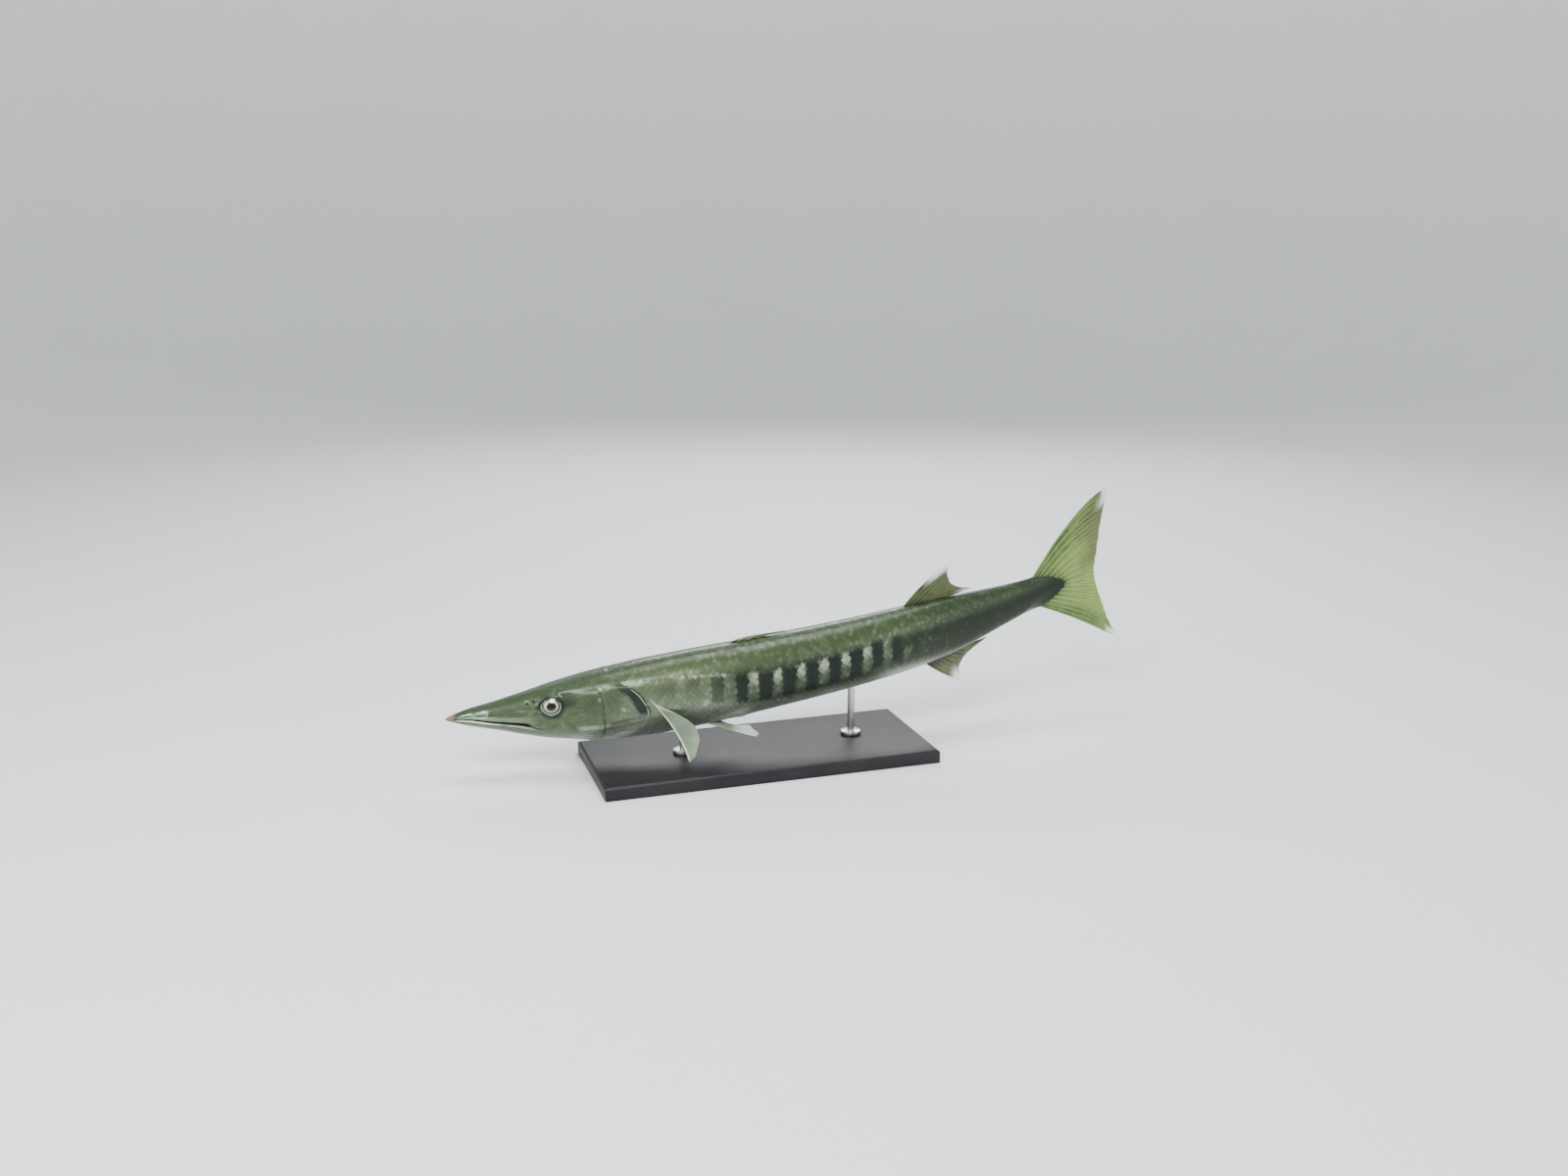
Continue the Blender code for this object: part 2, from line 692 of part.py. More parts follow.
def build_paired_fins():
    """The near pectoral hangs spread, and the far one and the pelvics trail closer to the body."""
    breast_line = ((0.2945, 86.0), (0.3170, 103.0))
    paired_fin(
        "pectoral_fin_left", 1, 9, breast_line,
        ((0.0, (0.327, 0.0590, -0.0405)), (1.0, (0.3465, 0.0565, -0.0275))),
        ((0.0, (0.3325, 0.0765, -0.0790)), (0.3, (0.339, 0.0750, -0.0765)), (0.6, (0.347, 0.0710, -0.0640)),
         (0.85, (0.3515, 0.0670, -0.0510)), (1.0, (0.3500, 0.0635, -0.0400))),
        0.0016, 0.0005, pale_fin_finish,
    )
    paired_fin(
        "pectoral_fin_right", -1, 9, breast_line,
        ((0.0, (0.330, 0.0580, -0.0260)), (1.0, (0.340, 0.0540, -0.0170))),
        ((0.0, (0.384, 0.0640, -0.0430)), (0.3, (0.385, 0.0620, -0.0370)), (0.6, (0.377, 0.0590, -0.0290)),
         (1.0, (0.360, 0.0560, -0.0200))),
        0.0016, 0.0005, pale_fin_finish,
    )
    hip_line = ((0.372, 148.0), (0.394, 163.0))
    paired_fin(
        "pelvic_fin_left", 1, 6, hip_line,
        ((0.0, (0.402, 0.0330, -0.0600)), (1.0, (0.410, 0.0200, -0.0600))),
        ((0.0, (0.438, 0.0440, -0.0720)), (0.4, (0.443, 0.0390, -0.0705)), (1.0, (0.434, 0.0220, -0.0610))),
        0.0014, 0.0005, pale_fin_finish,
    )
    paired_fin(
        "pelvic_fin_right", -1, 6, hip_line,
        ((0.0, (0.405, 0.0270, -0.0560)), (1.0, (0.412, 0.0140, -0.0590))),
        ((0.0, (0.447, 0.0230, -0.0580)), (0.4, (0.450, 0.0190, -0.0605)), (1.0, (0.434, 0.0110, -0.0610))),
        0.0014, 0.0005, pale_fin_finish,
    )


# Stand


def lowest_point():
    return min(vert.co.z for obj in barracuda.objects for vert in obj.data.vertices)


def build_stand():
    """A flat base under the fish's middle, and two rods that meet its belly."""
    names = ("torso_front", "torso_middle")
    trees = [BVHTree.FromObject(bpy.data.objects[name], bpy.context.evaluated_depsgraph_get()) for name in names]
    base_top = lowest_point() - clearance

    def under_belly(x, y):
        hits = [tree.ray_cast(Vector((x, y, base_top)), Vector((0, 0, 1)))[0] for tree in trees]
        return min(hit.z for hit in hits if hit is not None)

    for station, name in zip(rod_stations, ("stand_rod_front", "stand_rod_rear")):
        foot = place(station, 0, 0)
        bm = bmesh.new()
        levels = (
            (foot_radius, base_top + gap), (foot_radius, base_top + foot_height * 0.6),
            (rod_radius, base_top + foot_height), (rod_radius, None),
        )
        loops = []
        for radius, level in levels:
            loop = []
            for k in range(16):
                angle = k * math.pi / 8
                x, y = foot.x + radius * math.cos(angle), foot.y + radius * math.sin(angle)
                z = level if level is not None else under_belly(x, y) - gap * 1.2
                loop.append(bm.verts.new((x, y, z)))
            loops.append(loop)
        for lower, upper in zip(loops, loops[1:]):
            for k in range(16):
                bm.faces.new((lower[k], lower[(k + 1) % 16], upper[(k + 1) % 16], upper[k]))
        bm.faces.new(loops[0])
        top = bm.verts.new((foot.x, foot.y, under_belly(foot.x, foot.y) - gap * 1.2))
        for k in range(16):
            bm.faces.new((loops[-1][k], loops[-1][(k + 1) % 16], top))
        solid(name, bm, steel_finish)

    middle = place(base_station, 0, 0)
    bm = bmesh.new()
    centre = Matrix.Translation((middle.x, middle.y, base_top - base_size[2] / 2))
    bmesh.ops.create_cube(bm, size=1.0, matrix=centre @ Matrix.Diagonal((*base_size, 1.0)))
    base = solid("stand_base", bm, base_finish)
    rounding = base.modifiers.new("rounding", "BEVEL")
    rounding.width = base_edge
    rounding.segments = 2
    rounding.limit_method = "ANGLE"


def set_on_origin():
    """Puts the origin under the middle of the whole model, at the underside of the base."""
    corners = [vert.co for obj in barracuda.objects for vert in obj.data.vertices]
    middle = [(min(c[i] for c in corners) + max(c[i] for c in corners)) / 2 for i in range(2)]
    shift = Matrix.Translation((-middle[0], -middle[1], -min(c.z for c in corners)))
    for obj in barracuda.objects:
        obj.data.transform(shift)


build_head()
build_torso()
build_tail_stem()
build_back_fins()
build_anal_fin()
build_tail_fin()
build_paired_fins()
build_stand()
set_on_origin()
for obj in barracuda.objects:
    if obj.name != "stand_base":
        obj.data.shade_smooth()
        obj.data.set_sharp_from_angle(angle=math.radians(40))
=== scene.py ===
# Great barracuda on its display stand: one skin, a coat of scales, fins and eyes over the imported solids
import math

import bpy
import numpy as np
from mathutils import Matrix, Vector


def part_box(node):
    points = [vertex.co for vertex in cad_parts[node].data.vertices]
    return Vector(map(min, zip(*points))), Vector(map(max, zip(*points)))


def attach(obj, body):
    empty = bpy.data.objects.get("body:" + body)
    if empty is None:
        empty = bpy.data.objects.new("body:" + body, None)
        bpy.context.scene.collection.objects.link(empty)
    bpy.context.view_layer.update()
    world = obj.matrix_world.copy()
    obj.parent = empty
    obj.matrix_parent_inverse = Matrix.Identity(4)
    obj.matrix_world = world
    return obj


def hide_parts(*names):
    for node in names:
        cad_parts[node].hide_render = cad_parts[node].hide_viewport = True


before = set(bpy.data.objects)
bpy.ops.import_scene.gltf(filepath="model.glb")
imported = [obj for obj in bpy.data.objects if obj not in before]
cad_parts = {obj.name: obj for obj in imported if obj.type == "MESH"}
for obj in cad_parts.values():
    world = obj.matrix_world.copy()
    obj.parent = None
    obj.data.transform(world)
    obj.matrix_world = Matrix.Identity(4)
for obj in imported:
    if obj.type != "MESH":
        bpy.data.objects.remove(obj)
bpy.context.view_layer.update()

# Metres. A station is a share of the standard length, 0 at the tip of the lower jaw.
# A turn goes round the section from the back (0) to the belly (pi) on either side.
fish = {
    "standardLength": 0.900,
    "coatDepth": 0.0009,  # the skin lies this far under the solids where scales cover it
    "plainEnd": 0.143,  # rings are square to the axis up to here, then lean to the gill cover's edge
    "mouthEnd": 0.142,
    "upperJawStart": 0.009,
    "torsoEnd": 0.84,
    "stemHalfEnd": 0.0019,
    "tipLength": 0.0022,
}


def profile(*points):  # a smooth curve through (place, value) pairs that never overshoots
    places, values = (np.array(column, float) for column in zip(*points))
    steps = np.diff(values) / np.diff(places)
    slopes = np.concatenate(([steps[0]], np.zeros(len(steps) - 1), [steps[-1]]))
    same = steps[:-1] * steps[1:] > 0
    slopes[1:-1][same] = 2 * (steps[:-1] * steps[1:])[same] / (steps[:-1] + steps[1:])[same]

    def at(place):
        place = np.clip(place, places[0], places[-1])
        i = np.clip(np.searchsorted(places, place, side="right") - 1, 0, len(places) - 2)
        width = places[i + 1] - places[i]
        t = (place - places[i]) / width
        ends = values[i] * (1 + 2 * t) * (1 - t) ** 2 + values[i + 1] * t * t * (3 - 2 * t)
        return ends + width * t * (1 - t) * (slopes[i] * (1 - t) - slopes[i + 1] * t)

    return at


def ramp(value, start, end):  # rises smoothly from 0 at start to 1 at end
    t = np.clip((value - start) / (end - start), 0.0, 1.0)
    return t * t * (3 - 2 * t)


def span(value, start, full, fall, end):  # 1 from full to fall, 0 before start and after end
    return ramp(value, start, full) * (1 - ramp(value, fall, end))


def bell(value, centre, spread):
    return np.exp(-(((value - centre) / spread) ** 2))


# The pose in degrees: how far the axis turns away to the fish's right, and how far it rises
sweep = profile((0.22, -9.5), (0.40, -2.5), (0.55, 3.5), (0.75, 7.5), (0.92, 9.0), (1.0, 6.0), (1.2, 4.0))
rise = profile((0.28, 5.1), (0.55, 6.6), (0.75, 8.3), (0.92, 10.7))

# The flesh: back over the axis, belly under it, half the width, and the height of the widest line
bodyStations = (
    0, 0.03, 0.07, 0.11, 0.15, 0.20, 0.25, 0.30, 0.40,
    0.50, 0.60, 0.70, 0.78, 0.84, 0.90, 0.95, 1.02,
)


def alongBody(*values):
    return profile(*zip(bodyStations, values))


back = alongBody(
    0.0022, 0.0098, 0.0158, 0.0226, 0.0298, 0.0375, 0.0434, 0.0477, 0.0508,
    0.0502, 0.0482, 0.0459, 0.0425, 0.0378, 0.0322, 0.0292, 0.0300,
)
belly = alongBody(
    0.0018, 0.0122, 0.0221, 0.0333, 0.0430, 0.0518, 0.0558, 0.0568, 0.0530,
    0.0494, 0.0482, 0.0466, 0.0415, 0.0330, 0.0238, 0.0186, 0.0190,
)
halfWidth = alongBody(
    0.0035, 0.0108, 0.0172, 0.0232, 0.0298, 0.0368, 0.0415, 0.0430, 0.0430,
    0.0418, 0.0390, 0.0335, 0.0272, 0.0218, 0.0165, 0.0125, 0.0070,
)
widest = profile(
    (0.0, 0.0005), (0.034, -0.0015), (0.063, -0.0068), (0.10, -0.0130), (0.14, -0.0195), (0.17, -0.0185),
    (0.22, -0.0120), (0.30, -0.0050), (0.40, -0.0020), (0.80, -0.0010), (0.95, 0.0050), (1.02, 0.0055),
)
topSquare = profile((0.0, 2.0), (0.08, 2.4), (0.15, 3.0), (0.22, 2.6), (0.32, 2.2), (1.0, 2.0))
lowSquare = profile((0.0, 2.0), (0.10, 2.1), (0.20, 1.8), (0.30, 1.9), (0.42, 2.1), (1.0, 2.0))
# By degrees round the section: the gill cover's rear edge, and where the tail's flesh ends
gillEdge = profile(
    (0, 0.234), (18, 0.2365), (38, 0.2460), (58, 0.2630), (78, 0.2800), (98, 0.2880), (118, 0.2810),
    (140, 0.2560), (160, 0.2200), (180, 0.1960),
)
stemEnd = profile((0, 0.950), (30, 0.966), (60, 0.995), (90, 1.012), (120, 0.997), (150, 0.970), (180, 0.956))
# Height of the lateral line over the axis
lineHeight = profile(
    (0.25, 0.0310), (0.30, 0.0280), (0.38, 0.0225), (0.44, 0.0150), (0.50, 0.0130), (0.70, 0.0110),
    (0.85, 0.0080), (1.0, 0.0060),
)


def walkAxis():
    step = 0.0025
    stations = np.arange(500) * step
    turned, raised = np.radians(sweep(stations)), np.radians(rise(stations))
    flat = np.cos(raised)
    tailward = np.stack((flat * np.cos(turned), flat * np.sin(turned), np.sin(raised)), 1)
    left = np.cross(tailward, (0.0, 0.0, 1.0))
    left /= np.linalg.norm(left, axis=1)[:, None]
    walked = np.cumsum(tailward[:-1] * step * fish["standardLength"], axis=0)
    return stations, (np.vstack((np.zeros(3), walked)), tailward, left, np.cross(left, tailward))


axisStations, axisFrames = walkAxis()
origin = np.zeros(3)


def frameAt(station):  # point, tailward, left and up
    station = np.asarray(station, float)

    def read(part):
        return np.stack([np.interp(station, axisStations, part[:, i]) for i in range(3)], -1)

    point, tailward, left, up = (read(part) for part in axisFrames)
    ahead = (np.minimum(station, 0) * fish["standardLength"])[..., None]
    return point + tailward * ahead, tailward, left, up


def place(station, leftward, height):
    point, _, left, up = frameAt(station)
    leftward, height = np.asarray(leftward, float), np.asarray(height, float)
    return origin + point + left * leftward[..., None] + up * height[..., None]


def fleshAt(station, turn):  # reach to the side, height, and half the height of the upper or lower part
    level = widest(station)
    upper = turn <= np.pi / 2
    power = 2 / np.where(upper, topSquare(station), lowSquare(station))
    reach = np.where(upper, back(station) - level, belly(station) + level)
    across = halfWidth(station) * np.maximum(np.sin(turn), 0.0) ** power
    up = reach * np.abs(np.cos(turn)) ** power
    first = fish["torsoEnd"]
    thin = ramp((station - first) / (stemEnd(np.degrees(turn)) - first), 0.55, 1.0)
    across = across + (np.minimum(fish["stemHalfEnd"], across) - across) * thin
    return across, level + np.where(upper, up, -up), reach


def skinPoint(station, turn, side=1, lift=0.0, shrink=1.0):
    station, turn, side, lift = np.broadcast_arrays(station, turn, side, lift)
    past = (turn < 0) | (turn > np.pi)
    side = np.where(past, -side, side)
    turn = np.where(turn < 0, -turn, np.where(turn > np.pi, 2 * np.pi - turn, turn))
    across, height, reach = fleshAt(station, turn)
    outward, upward = np.sin(turn) / halfWidth(station), np.cos(turn) / reach
    size = np.hypot(outward, upward)
    across = (across + lift * outward / size) * shrink
    height = (height + lift * upward / size) * shrink
    return place(station, side * across, height)


def turnAtHeight(station, height):
    turns = np.linspace(0, np.pi, 721)
    return np.interp(-height, -fleshAt(station, turns)[1], turns)


# Eyes
eye = {
    "station": 0.153,
    "height": 0.0081,
    "radius": 0.0170,
    "halfDepth": 0.0090,
    "sunk": 0.0055,
    "forward": 0.16,  # how far it looks ahead and up
    "upward": 0.24,
    "opening": 0.0134,  # mean radius of the opening in the skin, and its reach each way
    "front": 0.0157,
    "rear": 0.0134,
    "top": 0.0108,
    "bottom": 0.0125,
    "rimHeight": 0.0007,
    "skinUnder": 0.0025,  # the skin closes this far behind the ball
    "pupil": 0.0062,
    "lens": 0.0005,  # the lens stands this far over the iris round it
    "irisSunk": 0.0004,
    "fit": 0.998,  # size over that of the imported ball
}


def eyeReach(forward, above):  # distance from the eye's axis, even all along the opening's edge
    long = np.where(forward > 0, eye["front"], eye["rear"])
    tall = np.where(above > 0, eye["top"], eye["bottom"]) * (1 - 0.22 * ramp(forward, 0.004, eye["front"]))
    return np.hypot(forward / long, above / tall) * eye["opening"]


def eyeAxes(side):  # centre, across, over and outward
    _, tailward, left, up = frameAt(eye["station"])
    turn = turnAtHeight(eye["station"], eye["height"])
    surface = place(eye["station"], side * fleshAt(eye["station"], turn)[0], eye["height"])
    outward = left * side - tailward * eye["forward"] + up * eye["upward"]
    outward /= np.linalg.norm(outward)
    across = np.cross(outward, up)
    across /= np.linalg.norm(across)
    return surface - outward * eye["sunk"], across, np.cross(across, outward), outward


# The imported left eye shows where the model's origin lies
low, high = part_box("eye_left")
origin = np.array((low + high) / 2) - eyeAxes(1)[0]
print("shape ready, origin at", np.round(origin, 4))


# Blender objects
def nothingSelected():
    bpy.ops.object.select_all(action="DESELECT")


def made(name):  # the object that the last operator made
    obj = bpy.context.view_layer.objects.active
    obj.name = obj.data.name = name
    return obj


def linked(name, data):
    obj = bpy.data.objects.new(name, data)
    bpy.context.scene.collection.objects.link(obj)
    return obj


def applyPlace():
    bpy.ops.object.transform_apply(location=True, rotation=True, scale=True)


def pointsOf(obj):
    points = np.empty(len(obj.data.vertices) * 3)
    obj.data.vertices.foreach_get("co", points)
    return points.reshape(-1, 3)


def movePoints(obj, points):
    obj.data.vertices.foreach_set("co", np.asarray(points, np.float32).ravel())
    obj.data.update()


def takeShape(obj):  # points and faces of a pattern, which is then removed
    points, faces = pointsOf(obj), [tuple(face.vertices) for face in obj.data.polygons]
    bpy.data.objects.remove(obj, do_unlink=True)
    return points, faces


def setAttribute(obj, name, columns):
    values = np.stack([np.broadcast_to(column, len(obj.data.vertices)) for column in columns], 1)
    layer = obj.data.attributes.new(name, "FLOAT_VECTOR", "POINT")
    layer.data.foreach_set("vector", values.astype(np.float32).ravel())


def editOnly(obj, kind, picked):  # edit mode, with only the picked faces or edges selected
    bpy.ops.object.mode_set(mode="EDIT")
    bpy.ops.mesh.select_mode(type=kind)
    bpy.ops.mesh.select_all(action="DESELECT")
    bpy.ops.object.mode_set(mode="OBJECT")
    parts = obj.data.polygons if kind == "FACE" else obj.data.edges
    parts.foreach_set("select", np.array(picked, bool))
    bpy.ops.object.mode_set(mode="EDIT")


def facesUp(obj):
    return [face.normal.z > 0.5 for face in obj.data.polygons]


def flatGrid(name, columns, rows):  # a unit grid whose x and y run from 0 to 1
    nothingSelected()
    bpy.ops.mesh.primitive_grid_add(
        x_subdivisions=columns, y_subdivisions=rows, size=1, location=(0.5, 0.5, 0),
    )
    obj = made(name)
    applyPlace()
    return obj


def subdivideWhere(obj, wanted):  # wanted takes the middles of the faces
    middles = np.empty(len(obj.data.polygons) * 3)
    obj.data.polygons.foreach_get("center", middles)
    editOnly(obj, "FACE", wanted(middles.reshape(-1, 3)))
    bpy.ops.mesh.subdivide(number_cuts=1)
    bpy.ops.object.mode_set(mode="OBJECT")


def closeUp(distance=1e-6):  # joins coincident points and turns the faces outwards
    bpy.ops.object.mode_set(mode="EDIT")
    bpy.ops.mesh.select_all(action="SELECT")
    bpy.ops.mesh.remove_doubles(threshold=distance)
    bpy.ops.mesh.normals_make_consistent(inside=False)
    bpy.ops.object.mode_set(mode="OBJECT")
    bpy.ops.object.shade_smooth()


def applyModifier(obj, modifier):
    bpy.context.view_layer.objects.active = obj
    bpy.ops.object.modifier_apply(modifier=modifier.name)


def softenEdges(obj, width, segments):
    bevel = obj.modifiers.new("edges", "BEVEL")
    bevel.width, bevel.segments, bevel.limit_method = width, segments, "ANGLE"
    applyModifier(obj, bevel)


def smoothUpTo(obj, degrees):
    obj.data.shade_smooth()
    obj.data.set_sharp_from_angle(angle=math.radians(degrees))


def handOver(obj, slotName, finish, *nodes):
    obj.data.materials.clear()
    obj.data.materials.append(finish)
    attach(obj, "root")
    if nodes:
        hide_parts(*nodes)
    return obj


# Shader maths
class Wire:  # an output of a shader node. Sums on it add Math nodes
    def __init__(self, paint, socket):
        self.paint, self.socket = paint, socket

    def other(self, index):
        return Wire(self.paint, self.socket.node.outputs[index])

    def maths(self, operation, *values):
        return self.paint.node("Math", {"operation": operation}, dict(enumerate(values)))

    def __rsub__(self, value):
        return self.maths("SUBTRACT", value, self)

    def rising(self, start, end, least=0.0, most=1.0):
        values = {"Value": self, "From Min": start, "From Max": end, "To Min": least, "To Max": most}
        return self.paint.node("MapRange", {"interpolation_type": "SMOOTHSTEP"}, values)

    def between(self, start, full, fall, end):
        return self.rising(start, full) * (1 - self.rising(fall, end))


def mathsMethod(operation):
    def method(self, *values):
        return self.maths(operation, self, *values)

    return method


wireMethods = {
    "__add__": "ADD", "__radd__": "ADD", "__sub__": "SUBTRACT", "__mul__": "MULTIPLY", "__rmul__": "MULTIPLY",
    "__truediv__": "DIVIDE", "__pow__": "POWER", "cosine": "COSINE", "sine": "SINE", "size": "ABSOLUTE",
    "upTo": "MINIMUM", "atLeast": "MAXIMUM",
}
for method, operation in wireMethods.items():
    setattr(Wire, method, mathsMethod(operation))


class Paint:  # one material and its nodes
    def __init__(self, name, **constants):
        self.material = bpy.data.materials.new(name)
        self.material.use_nodes = True
        self.tree = self.material.node_tree
        self.shader = self.tree.nodes["Principled BSDF"]
        self.lead(**constants)

    def plug(self, socket, value):
        if isinstance(value, Wire):
            self.tree.links.new(value.socket, socket)
        elif socket.type == "RGBA":
            socket.default_value = (*value, 1.0)
        else:
            socket.default_value = value

    def node(self, kind, settings=None, values=None, output=0):
        item = self.tree.nodes.new("ShaderNode" + kind)
        for label, value in (settings or {}).items():
            if label == "stops":
                self.setStops(item.color_ramp.elements, value)
            else:
                setattr(item, label, value)
        for label, value in (values or {}).items():
            self.plug(item.inputs[label], value)
        return Wire(self, item.outputs[output])

    def setStops(self, elements, stops):
        while len(elements) < len(stops):
            elements.new(1.0)
        for element, (position, colour) in zip(elements, stops):
            element.position = position
            element.color = (*colour, 1.0)

    def mix(self, factor, first, second):
        return self.node("Mix", {"data_type": "RGBA"}, {0: factor, 6: first, 7: second}, 2)

    def layers(self, colour, *coats):  # each coat is a mask and the colour that it lays on
        for mask, tint in coats:
            colour = self.mix(mask, colour, tint)
        return colour

    def ownPlace(self):
        return self.node("TexCoord", output=3)

    def noise(self, scale, detail=3.0, rough=0.55, vector=None):
        values = {"Vector": vector or self.ownPlace(), "Scale": scale, "Detail": detail, "Roughness": rough}
        return self.node("TexNoise", values=values)

    def cells(self, scale, feature="F1"):
        return self.node("TexVoronoi", {"feature": feature}, {"Vector": self.ownPlace(), "Scale": scale})

    def attribute(self, name):  # the three numbers of a vector that the piece carries
        vector = self.node("Attribute", {"attribute_name": name}, output=1)
        parts = self.node("SeparateXYZ", values={0: vector})
        return parts, parts.other(1), parts.other(2)

    def bump(self, height, distance, strength=1.0, under=None):
        values = {"Strength": strength, "Distance": distance, "Height": height}
        if under:
            values["Normal"] = under
        return self.node("Bump", values=values)

    def lead(self, **wires):
        for label, value in wires.items():
            self.plug(self.shader.inputs[label.replace("_", " ")], value)
        return self.material


# Markings, shared by the skin and the scales
markings = {
    # The stops towards the belly hold the fish's own pale underside, darkened in part as painted shade
    "flanks": (  # from the back to the belly
        (0.0, (0.030, 0.052, 0.018)), (0.18, (0.060, 0.094, 0.036)), (0.32, (0.100, 0.134, 0.064)),
        (0.46, (0.155, 0.190, 0.120)), (0.60, (0.240, 0.280, 0.205)), (0.76, (0.400, 0.430, 0.370)),
        (0.92, (0.620, 0.630, 0.580)),
    ),
    "back": (0.030, 0.052, 0.018),
    "bar": (0.010, 0.017, 0.015),
    "gap": (0.540, 0.590, 0.460),
    "lowGap": (0.092, 0.120, 0.078),
    "dusk": (0.022, 0.031, 0.020),
    # Painted shadow ahead of the gill cover's edge, and a painted highlight on that edge
    "gillShadow": (0.010, 0.022, 0.020),
    "gillEdgeHighlight": (0.560, 0.650, 0.570),
    "face": (0.048, 0.080, 0.035),
    # Painted shade behind and above the eye
    "shadeBehindEye": (0.010, 0.020, 0.013),
    "cheekStreak": (0.520, 0.600, 0.500),
    # Painted shade in the gill slit, along the mouth line and in the nostril pits
    "hollowShade": (0.006, 0.008, 0.007),
    "barSpacing": 0.0359,
    "firstBar": 0.4214,
    "paleSpotsAndGlints": (  # station, height and radius
        (0.224, 0.0240, 0.0030), (0.222, 0.0116, 0.0034), (0.252, -0.0050, 0.0036), (0.368, -0.012, 0.0050),
        # The last two, at the nostrils, are painted highlights
        (0.1330, 0.0116, 0.0034), (0.1176, 0.0146, 0.0034),
    ),
}


def fishColours(paint):  # colour, silver and darkness from the places that skin and scales carry
    m = markings
    station, height, around = paint.attribute("fishPlace")
    lineOffset, gillAhead, hollowShade = paint.attribute("fishMarks")
    cloud = paint.noise(22.0, 4.0)
    fine = paint.noise(160.0, 3.0)
    # The head is a deeper green, with painted shade on the skin behind and above the eye and a pale streak
    # under the cheek
    face = 1 - station.rising(0.20, 0.28)
    behind = station.between(0.156, 0.166, 0.178, 0.198) * height.between(0.001, 0.009, 0.021, 0.029)
    streak = height.between(-0.0300, -0.0270, -0.0240, -0.0210) * station.between(0.182, 0.196, 0.222, 0.240)
    # Dark bars under the lateral line, with a bright patch on the line between each two
    wave = ((station - height * 0.12 - m["firstBar"]) * (2 * math.pi / m["barSpacing"])).cosine()
    ragged = wave + (cloud - 0.5) * 1.3 + (fine - 0.5) * 0.6
    rear = station.rising(0.50, 0.68)
    barAlong = station.rising(0.330, 0.425, 0.10, 1.0) * (1 - station.rising(0.650, 0.730) * 0.72)
    barUp = (lineOffset - rear * 0.008 + (cloud - 0.5) * 0.018).between(-0.044, -0.034, -0.003, 0.003)
    barMask = ragged.rising(-0.40, 0.25) * barAlong * barUp
    between = (0 - ragged).rising(0.10, 0.80)
    patchAlong = station.between(0.408, 0.434, 0.630, 0.670) + station.between(0.30, 0.34, 0.38, 0.42) * 0.22
    patchUp = (lineOffset - rear * 0.003 + (fine - 0.5) * 0.006).between(-0.020, -0.006, -0.001, 0.004)
    patchMask = between * patchAlong * patchUp * cloud.rising(0.32, 0.52, 0.50, 1.0)
    lowAlong = station.between(0.345, 0.435, 0.650, 0.720)
    lowMask = between * lowAlong * lineOffset.between(-0.036, -0.028, -0.016, -0.006)
    # Painted shade darkens the flank round and under the lateral line from station 0.37 on
    flankShade = station.between(0.37, 0.45, 2.0, 3.0) * lineOffset.between(-0.048, -0.034, 0.002, 0.014) * 0.80
    overLine = station.rising(0.36, 0.48) * lineOffset.rising(0.002, 0.016)
    # Ahead of the bars a stretch of the lateral line carries painted glints
    lineGlints = (1 - lineOffset.size().rising(0.0006, 0.0024)) * station.between(0.325, 0.345, 0.395, 0.415)
    # The tail end is dusky all over
    duskAround = around.rising(0.16, 0.44, 0.45, 0.82) * (1 - around.rising(0.74, 0.90))
    duskMask = station.rising(0.66, 0.82) * duskAround + station.rising(0.90, 0.99) * 0.15
    # Painted shadow in a band ahead of the gill cover's edge, and a painted highlight on the edge itself
    gillShadowMask = gillAhead.between(0.0004, 0.0020, 0.0110, 0.0165) * around.between(0.25, 0.33, 0.52, 0.60)
    edge = gillAhead.between(-0.0022, -0.0012, -0.0002, 0.0008) * around.between(0.25, 0.30, 0.62, 0.72)

    def spotMask(spotStation, spotHeight, size):
        apart = ((station - spotStation) * fish["standardLength"]) ** 2 + (height - spotHeight) ** 2
        return (1 - (apart ** 0.5 + (fine - 0.5) * 0.0016).rising(size * 0.4, size)) * 0.40

    colour = paint.layers(
        paint.node("ValToRGB", {"stops": m["flanks"]}, {0: around + (cloud - 0.5) * 0.14}),
        (face * 0.62 * (1 - around.rising(0.50, 0.82)), m["face"]),
        (behind * 0.66, m["shadeBehindEye"]),
        (streak * 0.50, m["cheekStreak"]),
        (flankShade, m["dusk"]),
        (overLine * 0.34, m["back"]),
        (lowMask * 0.80, m["lowGap"]),
        (patchMask * 0.78, m["gap"]),
        (barMask * 0.95, m["bar"]),
        (lineGlints * fine.rising(0.30, 0.60) * 0.62, m["gap"]),
        (duskMask, m["dusk"]),
        (gillShadowMask * 0.94, m["gillShadow"]),
        (edge * 0.75, m["gillEdgeHighlight"]),
        (fine.rising(0.30, 0.75) * 0.16, m["back"]),
        *((spotMask(*spot), m["gap"]) for spot in m["paleSpotsAndGlints"]),
        (hollowShade, m["hollowShade"]),
    )
    dark = (barMask + duskMask + gillShadowMask + hollowShade).upTo(1.0)
    silver = around.between(0.20, 0.46, 0.70, 0.94) * (1 - dark * 0.75)
    return colour, silver, dark, face, cloud, fine


